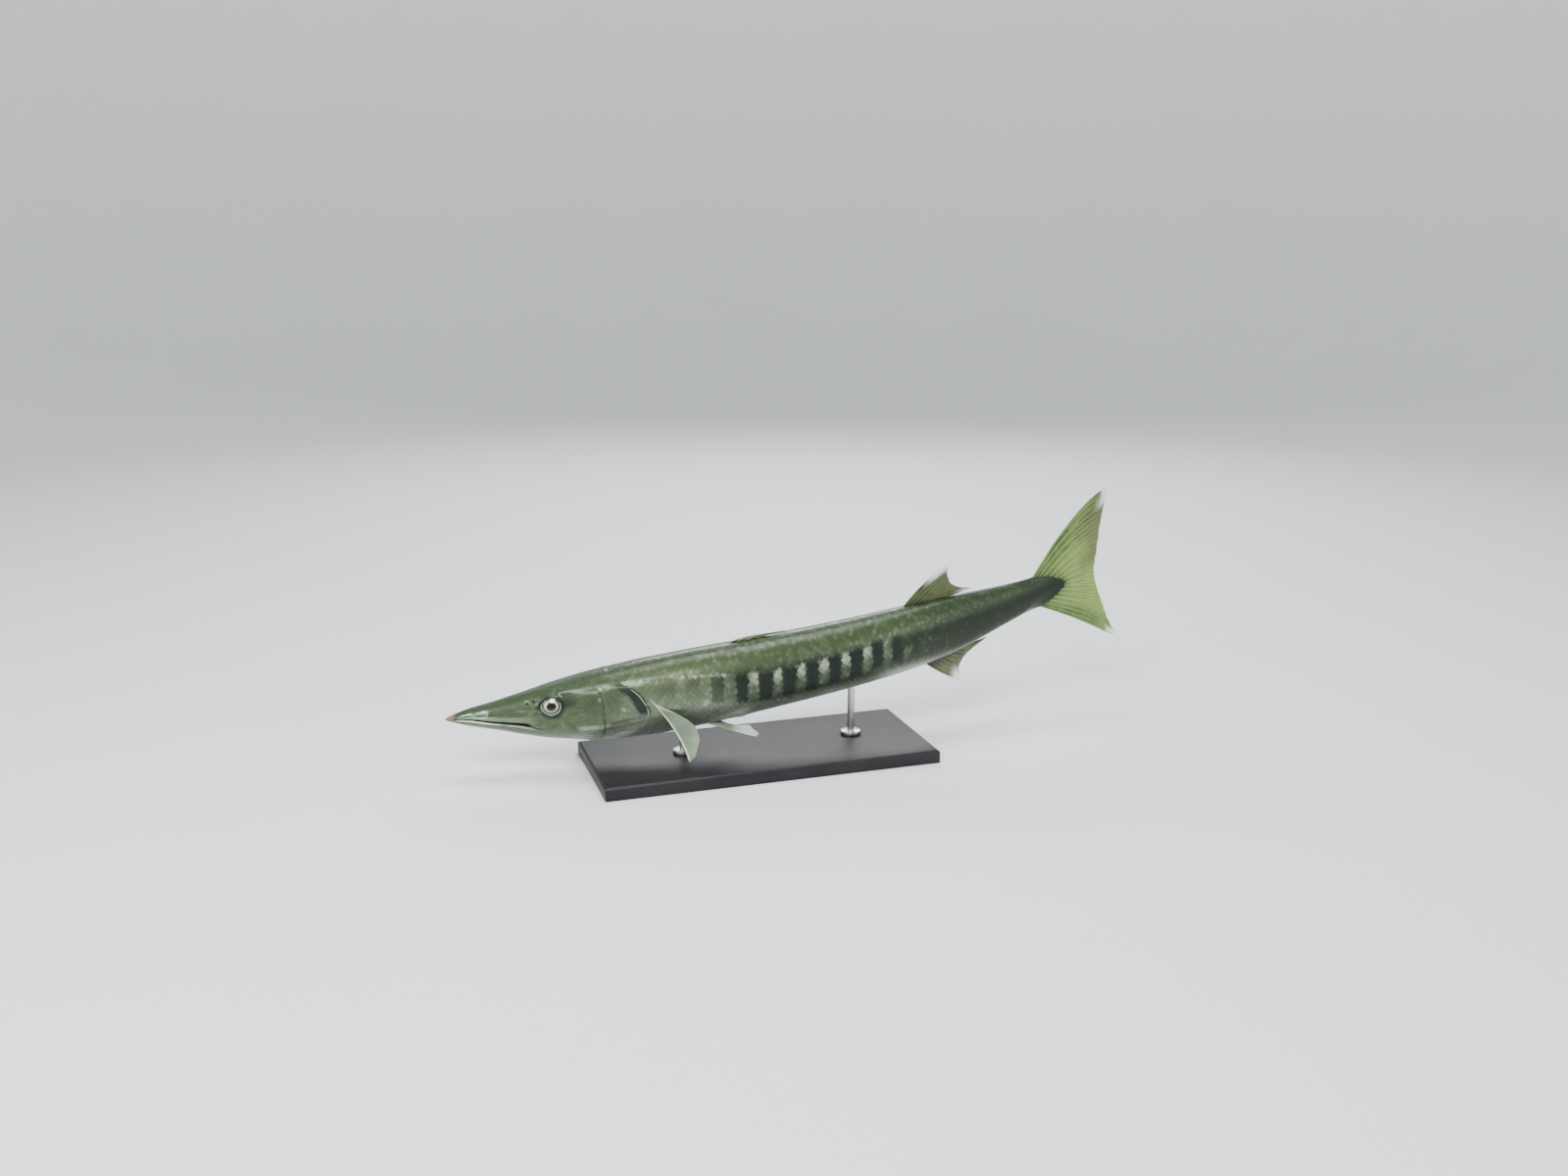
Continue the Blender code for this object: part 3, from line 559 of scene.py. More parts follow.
# Skin
skin = {
    "snoutRings": 120,
    "cheekRings": 100,
    "slitRings": 8,
    "bodyRings": 150,
    "around": 120,  # faces round the section
    "mouthCrowding": 0.22,
    "eyeDetail": (0.0195, 0.0180),  # faces are halved, and halved again, within these of the eye
    "tipRings": 4,
    # From the gill cover's edge under it and out to the shoulder: millimetres tailward, and lift
    "slitShift": (0.0, 0.5, 0.6, 0.1, -2.0, -2.4, 0.0, 2.0, 4.0),
    "slitLift": (2.2, 1.9, 1.3, 0.7, 0.0, -1.4, -1.7, -1.2, -0.9),
    # How much painted shade darkens the gill slit at each step
    "slitShade": (0.0, 0.0, 0.3, 0.9, 1.0, 1.0, 1.0, 0.6, 0.0),
    "nostrils": ((0.118, 0.0134), (0.128, 0.0153)),  # station and height of each
    "nostrilSize": (0.0022, 0.0014),
    "nostrilDepth": 0.0022,
    "nostrilRim": 0.00045,
    # Two painted highlights on the upper jaw's front
    "snoutHighlights": ((0.0285, 0.0115), (0.0505, 0.0100)),  # middle and half length, in stations
    "snoutHighlightTurn": (66.0, 18.0),  # middle and half height, in degrees from the back
}
# Heights and depths of the head's forms
relief = {
    "flap": 0.0022, "cheek": 0.0014, "suture": 0.00045, "ribs": 0.00012, "lowEdge": 0.0004, "folds": 0.00045,
    "lips": 0.0009, "highSeam": 0.0005, "lowSeam": 0.0006, "mouth": 0.0032, "corner": 0.0009,
    "maxilla": 0.0012, "jawFront": 0.0016, "brow": 0.0009, "nasal": 0.0007, "chin": 0.0006,
}
ringMarks = np.cumsum((0, skin["snoutRings"], skin["cheekRings"], skin["slitRings"], skin["bodyRings"]))


def gillWindow(degrees):
    return span(degrees, 46, 60, 150, 168)


def ridgeStation(degrees):
    return 0.208 + 0.016 * np.sin(np.radians(degrees))


def gillCoverRelief(station, degrees):
    edge, ridge = gillEdge(degrees), ridgeStation(degrees)
    flap = relief["flap"] * ramp(station, edge - 0.030, edge - 0.003)
    fall = 1 - ramp(station, ridge - 0.0004, ridge + 0.0034)
    cheek = relief["cheek"] * ramp(station, ridge - 0.040, ridge - 0.002) * fall
    # Sutures between the plates of the gill cover, and the rays of the membrane under it
    share = np.clip((station - ridge) / (edge - ridge), -1, 2)
    suture = bell(degrees, 126 - 14 * share, 1.3) * span(share, 0.02, 0.12, 0.85, 1.0)
    lowEdge = bell(degrees, 131, 1.4) * ramp(station, 0.155, 0.170)
    lowEdge = lowEdge * (1 - ramp(station, ridge + 0.004, ridge + 0.02))
    ahead = (edge - station) * fish["standardLength"]
    folds = sum(bell(ahead, 0.007 + 0.0075 * k, 0.0011) for k in range(5))
    folds = folds * span(degrees, 126, 136, 168, 175) * ramp(station, 0.150, 0.168)
    ribs = np.sin(share * 3 + degrees * 0.55) * span(share, 0.05, 0.3, 0.7, 1.0)
    plates = flap + cheek - relief["suture"] * suture + relief["ribs"] * ribs
    return gillWindow(degrees) * plates - relief["lowEdge"] * lowEdge - relief["folds"] * folds


def mouthLine(station):  # degrees. It turns down at the corner of the jaw
    return 90 + 11 * ramp(station, 0.112, 0.146)


def mouthOpen(station):  # 1 along the mouth, fading at its corner
    return span(station, 0.003, 0.010, 0.122, 0.146)


def faceRelief(station, degrees):  # lips, mouth line, cheek plate, brow and the seams of the snout
    size = np.minimum(1.0, halfWidth(station) / 0.012)
    mouthEnd = fish["mouthEnd"]
    along = span(station, 0.003, 0.010, mouthEnd - 0.010, mouthEnd + 0.004)
    line = mouthLine(station)
    lips = relief["lips"] * (bell(degrees, line - 7, 5.0) + bell(degrees, line + 8, 5.5))
    seams = relief["highSeam"] * bell(degrees, 73, 1.8) + relief["lowSeam"] * bell(degrees, 112, 2.2)
    mouth = relief["mouth"] * bell(degrees, line, 1.5) * (0.25 + 0.75 * mouthOpen(station))
    cornerLine = 101 + np.clip(station - 0.1405, 0, 0.024) / 0.024 * 24
    corner = relief["corner"] * bell(degrees, cornerLine, 2.6) * span(station, 0.139, 0.143, 0.158, 0.166)
    plate = span(station, 0.085, 0.110, mouthEnd, mouthEnd + 0.006)
    plateEdge = 66 + 6 * ramp(station, 0.10, 0.14)
    maxilla = relief["maxilla"] * plate * span(degrees, plateEdge - 2, plateEdge + 1, line - 4, line - 1)
    front = relief["jawFront"] * bell(station, fish["upperJawStart"], 0.0014)
    front = front * (1 - ramp(degrees, 80, 89)) * size
    brow = relief["brow"] * bell(degrees, 40, 7) * span(station, 0.120, 0.140, 0.165, 0.200)
    nasal = bell(degrees, 24 + 150 * np.maximum(0.09 - station, 0), 5)
    nasal = relief["nasal"] * nasal * span(station, 0.03, 0.06, 0.12, 0.15)
    chin = relief["chin"] * bell(degrees, 158, 3) * span(station, 0.03, 0.05, 0.15, 0.19)
    return size * along * (lips - seams - mouth) - corner + maxilla - front + brow - nasal - chin


def slowWaves(station, degrees, side):  # bone and muscle under the skin are never quite even
    waves = np.sin(station * 95 + degrees * 0.09 * side) + np.sin(station * 61 - degrees * 0.13 + 2 * side)
    waves = 0.00007 * waves + 0.00005 * np.sin(station * 210 + degrees * 0.21 + side)
    return waves * np.sin(np.radians(degrees))


def skinLayout(flat):  # what the flat grid's points mean on the fish
    ring = flat[:, 0] * ringMarks[-1]
    side = np.where(flat[:, 1] <= 0.5, 1, -1)
    share = np.where(side > 0, flat[:, 1], 1 - flat[:, 1]) * 2
    early = np.minimum(ring / ringMarks[1], 1) * fish["plainEnd"]
    crowding = skin["mouthCrowding"] * (1 - ramp(ring, ringMarks[1] * 0.95, ringMarks[1] * 1.35)) + 0.03
    turn = np.pi * (share + crowding / 2 * np.sin(2 * np.pi * share))
    degrees = np.degrees(turn)
    edge, window = gillEdge(degrees), gillWindow(degrees)
    cheek = np.clip((ring - ringMarks[1]) / skin["cheekRings"], 0, 1)
    slit = np.clip(ring - ringMarks[2], 0, skin["slitRings"])
    body = np.clip((ring - ringMarks[3]) / skin["bodyRings"], 0, 1)
    shift = np.interp(slit, slitSteps, skin["slitShift"]) * window + slit * 0.5 * (1 - window)
    shoulder = edge + 0.004 / fish["standardLength"]
    station = early + (edge - fish["plainEnd"]) * cheek
    station = np.where(ring > ringMarks[2], edge + shift * 0.001 / fish["standardLength"], station)
    station = np.where(ring > ringMarks[3], shoulder + (stemEnd(degrees) - shoulder) * body, station)
    return ring, side, turn, degrees, station, slit, body, window


slitSteps = np.arange(skin["slitRings"] + 1)


def nostrilPoint(nostril, side):
    station, height = nostril
    return skinPoint(station, turnAtHeight(station, height), side)


def markPlaces(obj, station, turn, offset=None, hollowShade=0.0):  # what the shared markings read
    degrees, heights = np.degrees(turn), fleshAt(station, turn)[1]
    ahead = (gillEdge(degrees) - station) * fish["standardLength"]
    offset = heights - lineHeight(station) if offset is None else offset
    setAttribute(obj, "fishPlace", (station, heights, degrees / 180))
    setAttribute(obj, "fishMarks", (offset, ahead, hollowShade))


def nearEyes(middles, reach):
    _, side, turn, _, station, _, _, _ = skinLayout(middles)
    points = skinPoint(station, turn, side)
    found = np.zeros(len(middles), bool)
    for s in (1, -1):
        centre, _, _, outward = eyeAxes(s)
        spots = [(centre + outward * 0.005, reach)]
        spots += [(nostrilPoint(nostril, s), reach * 0.27) for nostril in skin["nostrils"]]
        for spot, within in spots:
            found |= (side == s) & (np.linalg.norm(points - spot, axis=1) < within)
    return found


def alongEdges(middles):
    ring, _, _, degrees, station, _, _, window = skinLayout(middles)
    mouth = (np.abs(degrees - 90) < 9) & (station < 0.150)
    slit = (ring > ringMarks[2] - 6) & (ring < ringMarks[3] + 1) & (window > 0)
    ridge = (np.abs(station - ridgeStation(degrees) - 0.0015) < 0.0045) & (window > 0)
    return mouth | slit | ridge | (station < 0.014)


def openOrbits(points, side):  # sinks the skin behind each eye, and raises the rim round it
    orbit = np.full(len(points), 1.0)
    for s in (1, -1):
        centre, across, over, outward = eyeAxes(s)
        apart = points - centre
        radius = np.hypot(apart @ across, apart @ over)
        reach = np.maximum(eyeReach(apart @ across * s, apart @ over), 1e-5)
        edge = radius * eye["opening"] / reach
        depth = apart @ outward
        near = (side == s) & (depth > -0.004) & (radius < 0.05)
        ball = eye["halfDepth"] * np.sqrt(np.maximum(1 - (radius / eye["radius"]) ** 2, 0))
        level = eye["halfDepth"] * np.sqrt(np.maximum(1 - (edge / eye["radius"]) ** 2, 0))
        rim = level + eye["rimHeight"] * bell(reach, eye["opening"] + 0.0013, 0.0010)
        inside = 1 - ramp(reach, eye["opening"] - 0.0011, eye["opening"] + 0.0006)
        wanted = rim + (ball - eye["skinUnder"] - rim) * inside
        blendIn = 1 - ramp(radius, edge + 0.0012, 0.0155 + 0.35 * edge)
        points = points + outward * np.where(near, (wanted - depth) * blendIn, 0.0)[:, None]
        orbit = np.where(near, np.minimum(orbit, reach), orbit)
    return points, orbit


def buildSkin():
    obj = flatGrid("skin", int(ringMarks[-1]), skin["around"])
    first, second = skin["eyeDetail"]
    subdivideWhere(obj, lambda middles: nearEyes(middles, first) | alongEdges(middles))
    subdivideWhere(obj, lambda middles: nearEyes(middles, second))
    ring, side, turn, degrees, station, slit, body, window = skinLayout(pointsOf(obj))
    coat = fish["coatDepth"]
    lift = gillCoverRelief(station, degrees) + faceRelief(station, degrees)
    lift = lift + slowWaves(station, degrees, side) * ramp(station, 0.01, 0.05)
    underFlap = np.interp(slit, slitSteps, skin["slitLift"]) * 0.001 * window
    underFlap = underFlap - coat * slit / skin["slitRings"] * (1 - window)
    lift = np.where(ring > ringMarks[2], underFlap, lift)
    lift = np.where(ring > ringMarks[3], -coat, lift)
    # Painted shade darkens the gill slit, the mouth line and the nostril pits
    slitShadeMask = np.interp(slit, slitSteps, skin["slitShade"]) * window * (ring <= ringMarks[3])
    lineWidth = 1.3 + 3.0 * (1 - ramp(station, 0.03, 0.10))
    mouthShadeMask = bell(degrees, mouthLine(station), lineWidth) * mouthOpen(station)
    hollowShade = np.maximum(np.where(ring > ringMarks[2], slitShadeMask, 0), mouthShadeMask)
    long, tall = skin["nostrilSize"]
    for s in (1, -1):
        for nostril in skin["nostrils"]:
            apart = skinPoint(station, turn, side) - nostrilPoint(nostril, s)
            _, tailward, _, up = frameAt(nostril[0])
            size = np.where(side == s, np.hypot(apart @ tailward / long, apart @ up / tall), 9.0)
            lift = lift - skin["nostrilDepth"] * (1 - ramp(size, 0.45, 1.0))
            lift = lift + skin["nostrilRim"] * bell(size, 1.25, 0.28)
            hollowShade = np.maximum(hollowShade, 1 - ramp(size, 0.6, 1.0))
    # The snout's tip is a rounded cap, and the tail's thin end closes on its middle plane
    cap = np.clip(ring / skin["tipRings"], 0, 1) * np.pi / 2
    points = skinPoint(station, turn, side, lift * ramp(ring, 2, 10), np.sin(cap))
    points = points - frameAt(0.0)[1] * (fish["tipLength"] * np.cos(cap))[:, None]
    last = ramp(body, 1 - 1.6 / skin["bodyRings"], 1.0)
    middle = place(station, np.zeros(len(station)), fleshAt(station, turn)[1] - coat * np.cos(turn))
    points = points + (middle - points) * last[:, None]
    points, orbit = openOrbits(points, side)
    movePoints(obj, points)
    markPlaces(obj, station, turn, hollowShade=hollowShade)
    setAttribute(obj, "skinMarks", (orbit, 0.0, 0.0))
    closeUp()
    return obj


skinTints = {
    # The lower jaw's own green, darkened in part as painted shade on its underside
    "jaw": (0.135, 0.175, 0.110),
    "darkGrain": (0.022, 0.040, 0.018),
    "paleGrain": (0.210, 0.270, 0.165),
    "upperLip": (0.300, 0.380, 0.270),
    # Painted highlights at the front of the upper jaw: a darker inside, a bright top and a pale rim
    "window": (0.120, 0.215, 0.150),
    "snoutHighlightTop": (0.660, 0.780, 0.640),
    "snoutHighlightRim": (0.480, 0.600, 0.460),
    # Painted highlights along the lower lip, brightest at the front
    "lip": (0.760, 0.840, 0.720),
    "rearLipHighlight": (0.560, 0.640, 0.520),
    "tip": (0.340, 0.200, 0.170),
    # Painted shade round the eye
    "orbit": (0.006, 0.012, 0.009),
    "pores": (0.014, 0.024, 0.012),
    "stain": (0.030, 0.060, 0.028),
    "bloom": (0.280, 0.350, 0.240),
    # Painted shade in the crease at the edge of the cheek's plate
    "creaseShade": (0.020, 0.036, 0.022),
}


def skinFinish():
    paint = Paint("barracudaSkin", Coat_Roughness=0.07, Specular_IOR_Level=0.4, Coat_IOR=1.4)
    tints = skinTints
    colour, silver, dark, face, cloud, fine = fishColours(paint)
    station, height, around = paint.attribute("fishPlace")
    orbit = paint.attribute("skinMarks")[0]
    degrees = around * 180.0
    # The lower jaw and throat, darkened in part as painted shade
    jaw = degrees.between(92.0, 104.0, 146.0, 176.0) * (1 - station.rising(0.15, 0.20))
    # Fine streaks run along the bones of the head
    lengthways = paint.node("CombineXYZ", values={0: station * 95.0, 1: around * 75.0, 2: height * 40.0})
    grain = paint.noise(1.0, 5.0, 0.62, lengthways)
    upperLip = degrees.between(77.0, 80.0, 86.0, 89.0) * station.between(0.012, 0.020, 0.10, 0.14)
    coats = [
        (jaw * 0.55, tints["jaw"]),
        (grain.rising(0.46, 0.66) * face * 0.38, tints["darkGrain"]),
        ((1 - grain.rising(0.30, 0.46)) * face * 0.22, tints["paleGrain"]),
        (upperLip * 0.45, tints["upperLip"]),
    ]
    # Two painted highlights at the front of the upper jaw, each a darker painted inside with a bright top and
    # a pale rim
    level, halfHeight = skin["snoutHighlightTurn"]
    for middle, half in skin["snoutHighlights"]:
        aslant = (station - middle + (degrees - level) * 0.00016) / half
        reach = (aslant ** 2 + ((degrees - level) / halfHeight) ** 2) ** 0.5
        reach = reach + (fine - 0.5) * 0.6 + (grain - 0.5) * 1.3
        inside = 1 - reach.rising(0.70, 1.05)
        coats += [
            (inside * 0.56, tints["window"]),
            (inside * (1 - degrees.rising(53.0, level)) * 0.72, tints["snoutHighlightTop"]),
            (reach.between(0.66, 0.88, 0.94, 1.14) * 0.40, tints["snoutHighlightRim"]),
        ]
    # Painted highlights along the lower lip
    lip = degrees.between(92.5, 95.0, 102.0, 107.0) * station.between(0.010, 0.018, 0.060, 0.085)
    rearLipHighlight = degrees.between(91.0, 94.0, 98.0, 102.0) * station.between(0.05, 0.07, 0.115, 0.140)
    tip = 1 - (station + (fine - 0.5) * 0.010 + (cloud - 0.5) * 0.012).rising(0.003, 0.019)
    # Painted shade round the eye, pores, stains, and painted shade in the crease at the edge of the cheek's
    # plate
    pores = 1 - paint.cells(420.0).rising(0.10, 0.24)
    mottle = paint.noise(75.0, 5.0, 0.65)
    ridge = (around * math.pi).sine() * 0.016 + 0.2095
    creaseShade = 1 - (station - ridge - 0.0015).size().rising(0.0003, 0.0020)
    coats += [
        (lip * 0.90, tints["lip"]),
        (rearLipHighlight * 0.40, tints["rearLipHighlight"]),
        (tip * 0.72, tints["tip"]),
        (orbit.between(0.0120, 0.0134, 0.0146, 0.0205) * 0.86, tints["orbit"]),
        (pores * face * 0.50 * (1 - around.rising(0.45, 0.75)), tints["pores"]),
        (mottle.rising(0.48, 0.72) * face * 0.40, tints["stain"]),
        ((1 - mottle.rising(0.30, 0.46)) * face * 0.13, tints["bloom"]),
        (creaseShade * around.between(0.26, 0.33, 0.72, 0.85) * 0.55, tints["creaseShade"]),
    ]
    normal = paint.bump(paint.cells(900.0, "SMOOTH_F1"), 0.00018, 0.55)
    normal = paint.bump(mottle, 0.0005, 0.35, normal)
    normal = paint.bump(grain * face, 0.0006, 0.40, normal)
    normal = paint.bump(cloud + fine * 0.3, 0.0008, 0.35, normal)
    return paint.lead(
        Base_Color=paint.layers(colour, *coats),
        Roughness=0.34 + cloud * 0.16 + dark * 0.06 + mottle * 0.06,
        Metallic=silver * 0.35,
        Coat_Weight=0.38 + face * 0.14 - dark * 0.16,
        Normal=normal,
    )


fleshNodes = ("head", "lower_jaw", "torso_front", "torso_middle", "torso_rear", "tail_stem")
skinPiece = handOver(buildSkin(), "flank", skinFinish(), *fleshNodes)
print("skin:", len(skinPiece.data.polygons), "faces")


# Eyes
def buildEye(name, side, node, finish):
    nothingSelected()
    bpy.ops.mesh.primitive_uv_sphere_add(segments=96, ring_count=64, radius=1)
    obj = made(name)
    unit = pointsOf(obj)
    centre, across, over, outward = eyeAxes(side)
    radius, depth = eye["radius"] * eye["fit"], eye["halfDepth"] * eye["fit"]
    flat = np.hypot(unit[:, 0], unit[:, 1]) * radius
    lens = eye["lens"] * (1 - ramp(flat, eye["pupil"] * 0.80, eye["pupil"] * 1.08)) - eye["irisSunk"]
    height = unit[:, 2] * depth + np.where(unit[:, 2] > 0, lens * ramp(unit[:, 2], 0.2, 0.6), 0)
    forward, above = unit[:, 0] * radius, unit[:, 1] * radius
    points = centre + across * forward[:, None] + over * above[:, None] + outward * height[:, None]
    movePoints(obj, points)
    forward = forward * side
    setAttribute(obj, "eyePlace", (forward, above, eyeReach(forward, above)))
    closeUp()
    return handOver(obj, "eye", finish, node)


eyeTints = {
    "dark": (0.008, 0.018, 0.011),
    "light": (0.060, 0.098, 0.050),
    # Painted light on the iris below and in front, and painted shadow under the brow
    "lit": (0.150, 0.250, 0.145),
    "brow": (0.010, 0.020, 0.012),
    "cream": (0.860, 0.740, 0.500),
    "tan": (0.400, 0.330, 0.190),
    "outer": (0.460, 0.580, 0.430),
    "limbus": (0.008, 0.013, 0.009),
    "pupil": (0.002, 0.002, 0.003),
}


def eyeFinish():
    paint = Paint("eyeSurface", Coat_Weight=1.0, Coat_Roughness=0.02, Coat_IOR=1.5, Specular_IOR_Level=0.5)
    tints = eyeTints
    forward, above, reach = paint.attribute("eyePlace")
    radius = ((forward / 1.07) ** 2 + (above / 0.95) ** 2) ** 0.5
    angle = above.maths("ARCTAN2", above, forward)
    spread = paint.node("CombineXYZ", values={0: angle.cosine() * 4.0, 1: angle * 3.0, 2: radius * 300.0})
    streaks = paint.noise(5.0, 4.0, vector=spread)
    cloud = paint.noise(260.0, 4.0)
    # Painted shadow darkens the iris above, under the brow, and painted light makes it green below and in
    # front
    lit = (forward * 0.6 - above).rising(-0.002, 0.010)
    brow = (above + 0.002).rising(0.002, 0.009)
    # A ragged cream ring round the pupil, and a thin pale one along the opening
    below = (0.002 - above).rising(0.002, 0.008)
    jag = radius + (streaks - 0.5) * 0.0038 + (cloud - 0.5) * 0.0016 + below * 0.0009
    inner = 1 - jag.rising(0.0079, 0.0091)
    outer = reach.between(0.0112, 0.0120, 0.0125, 0.0131)
    pupilEdge = radius + (streaks - 0.5) * 0.0009 + (cloud - 0.5) * 0.0003
    black = 1 - pupilEdge.rising(eye["pupil"] - 0.0002, eye["pupil"] + 0.0001)
    colour = paint.layers(
        paint.mix(streaks.rising(0.32, 0.68), tints["dark"], tints["light"]),
        (lit * streaks.rising(0.30, 0.62) * 0.50, tints["lit"]),
        (brow * 0.70, tints["brow"]),
        (inner * (0.94 - below * 0.30), paint.mix(streaks.rising(0.42, 0.66), tints["cream"], tints["tan"])),
        (outer * streaks.rising(0.22, 0.55) * (0.86 - brow * 0.72), tints["outer"]),
        (reach.rising(0.0124, 0.0133), tints["limbus"]),
        (black, tints["pupil"]),
    )
    metal = (1 - black) * 0.35
    rough = 0.24 - black * 0.19
    normal = paint.bump(streaks, 0.0003, 0.25)
    return paint.lead(Base_Color=colour, Roughness=rough, Metallic=metal, Normal=normal)


eyeSurface = eyeFinish()
buildEye("eyeLeft", 1, "eye_left", eyeSurface)
buildEye("eyeRight", -1, "eye_right", eyeSurface)
print("eyes done")


# Scales
scales = {
    "overlap": 1.9,  # scale length over the step to the next one
    "breadth": 2.25,  # scale width over the row's height
    "rim": 10,  # corners round one scale
    "rimWidth": 0.42,  # the sloped rim and the raised middle, over the scale's half length
    "crown": 0.35,
    "rootNarrower": 0.22,
    "firstSunk": 0.00026,  # how deep the first face scales and the nape's last ones lie
    "napeSunk": 0.00072,
    "sharpFrom": 35,  # degrees
    "ownColour": 0.60,
    "vary": 0.06,  # how much lengths and widths differ
    "yaw": 0.035,
    "shift": 0.04,
    "uneven": 0.00004,
    "bakePatch": 0.0015,  # half the patch of one scale on the bake map
    "pale": (0.50, 0.60, 0.46),
    "dark": (0.016, 0.026, 0.015),
    "rimDark": (0.020, 0.032, 0.018),
}
scaleStep = profile((0.23, 0.0084), (0.50, 0.0080), (0.75, 0.0068), (0.90, 0.0050), (1.02, 0.0036))
# Rows go from back to belly on each side. A scale's root lies at the depth under the solids' surface,
# and it rises by the tilt to its free edge
bodyLattice = {
    "from": 0.230, "to": 1.030, "rows": 30, "size": 1.0,
    "depth": 0.00082, "tilt": 0.00062, "thickness": 0.00016,
}
faceLattice = {
    "from": 0.168, "to": 0.292, "rows": 46, "size": 0.52,
    "depth": 0.00016, "tilt": 0.00030, "thickness": 0.00010,
}


def oneScale():  # a disc with a raised middle, its root towards -x
    nothingSelected()
    bpy.ops.mesh.primitive_cylinder_add(vertices=scales["rim"], radius=1, depth=1, end_fill_type="NGON")
    obj = made("scale")
    editOnly(obj, "FACE", facesUp(obj))
    bpy.ops.mesh.inset(thickness=scales["rimWidth"])
    bpy.ops.transform.translate(value=(0, 0, scales["crown"]))
    bpy.ops.object.mode_set(mode="OBJECT")
    points, faces = takeShape(obj)
    points[:, 1] *= 1 - scales["rootNarrower"] * ramp(-points[:, 0], 0.0, 1.0)
    return points, faces


scaleShape, scaleFaces = oneScale()


def arcTable(station):  # metres down the side from the back, and the turn there
    turns = np.linspace(0, np.pi, 361)
    across, height, _ = fleshAt(station, turns)
    steps = np.hypot(np.diff(across), np.diff(height))
    return np.concatenate(([0], np.cumsum(steps))), turns


def turnsAlong(arc, turns, metres):
    whole = arc[-1]
    inside = np.interp(np.where(metres > whole, 2 * whole - metres, np.abs(metres)), arc, turns)
    return np.where(metres < 0, -inside, np.where(metres > whole, 2 * np.pi - inside, inside))


def copiesOf(name, points, faces):  # points has one row of places for each copy
    perCopy = points.shape[1]
    allFaces = [tuple(corner + k * perCopy for corner in face) for k in range(len(points)) for face in faces]
    mesh = bpy.data.meshes.new(name)
    mesh.from_pydata(points.reshape(-1, 3), [], allFaces)
    return linked(name, mesh)


def bakeMap(obj, spots):  # each copy is a small patch at its root's place on an unwrap of the skin
    corners = np.empty(len(obj.data.loops), int)
    obj.data.loops.foreach_get("vertex_index", corners)
    layer = obj.data.uv_layers.new(name="OFBake")
    layer.data.foreach_set("uv", spots[corners].astype(np.float32).ravel())


def unwrapSpot(station, share, side):
    return np.stack((0.02 + 0.90 * station, np.where(side > 0, 0.015, 0.515) + 0.47 * share), -1)


def layScales(name, side, lattice, surface, allowed, seed):
    rng = np.random.default_rng(seed)
    wide, tall, up = scaleShape.T
    station, column = lattice["from"], 0
    parts = []
    while station < lattice["to"]:
        step = scaleStep(station) * lattice["size"]
        arc, turns = arcTable(min(station, 1.0))
        row = arc[-1] / lattice["rows"]
        shares = np.arange(0.5 + column % 2, lattice["rows"], 2) / lattice["rows"]
        metres = shares * arc[-1]
        kept = allowed(station, np.degrees(np.interp(metres, arc, turns)))
        metres, shares = metres[kept], shares[kept]
        count = len(metres)

        def vary(most):
            return rng.uniform(-most, most, count)[:, None]

        if count:
            length = step * scales["overlap"] * (1 + vary(scales["vary"]))
            width = row * scales["breadth"] * (1 + vary(scales["vary"]))
            yaw = rng.normal(0.0, scales["yaw"], count)[:, None]
            along = wide * length / 2 * np.cos(yaw) - tall * width / 2 * np.sin(yaw)
            down = wide * length / 2 * np.sin(yaw) + tall * width / 2 * np.cos(yaw)
            along = along + vary(scales["shift"]) * step
            places = station + along / fish["standardLength"]
            turn = turnsAlong(arc, turns, metres[:, None] + down)
            lift = -lattice["depth"] + lattice["tilt"] * (wide + 1) / 2 + up * lattice["thickness"]
            lift = lift + vary(scales["uneven"]) + surface(places, np.degrees(np.abs(turn)))
            points = skinPoint(places, turn, side, lift)
            tone = np.broadcast_to(rng.uniform(0, 1, count)[:, None], places.shape)
            spot = unwrapSpot(np.full(count, station), shares, side)[:, None, :]
            parts.append((points, places, turn, tone, spot + scaleShape[None, :, :2] * scales["bakePatch"]))
        station += step / 2 / fish["standardLength"]
        column += 1
    points, places, turn, tone, spot = (np.concatenate(part) for part in zip(*parts))
    faces = [face[::-1] for face in scaleFaces] if side > 0 else scaleFaces  # outwards on both sides
    obj = copiesOf(name, points, faces)
    turn = np.abs(turn)
    turn = np.where(turn > np.pi, 2 * np.pi - turn, turn)
    # A scale takes most of its colour from its own middle, so markings step from scale to scale
    own = scales["ownColour"]
    turn, places = (
        (part * (1 - own) + part.mean(1, keepdims=True) * own).ravel() for part in (turn, places)
    )
    markPlaces(obj, places, turn)
    setAttribute(obj, "scalePlace", (np.tile(wide, len(points)), np.tile(tall, len(points)), tone.ravel()))
    bakeMap(obj, spot.reshape(-1, 2))
    smoothUpTo(obj, scales["sharpFrom"])
    print(name + ":", len(points), "scales")
    return obj


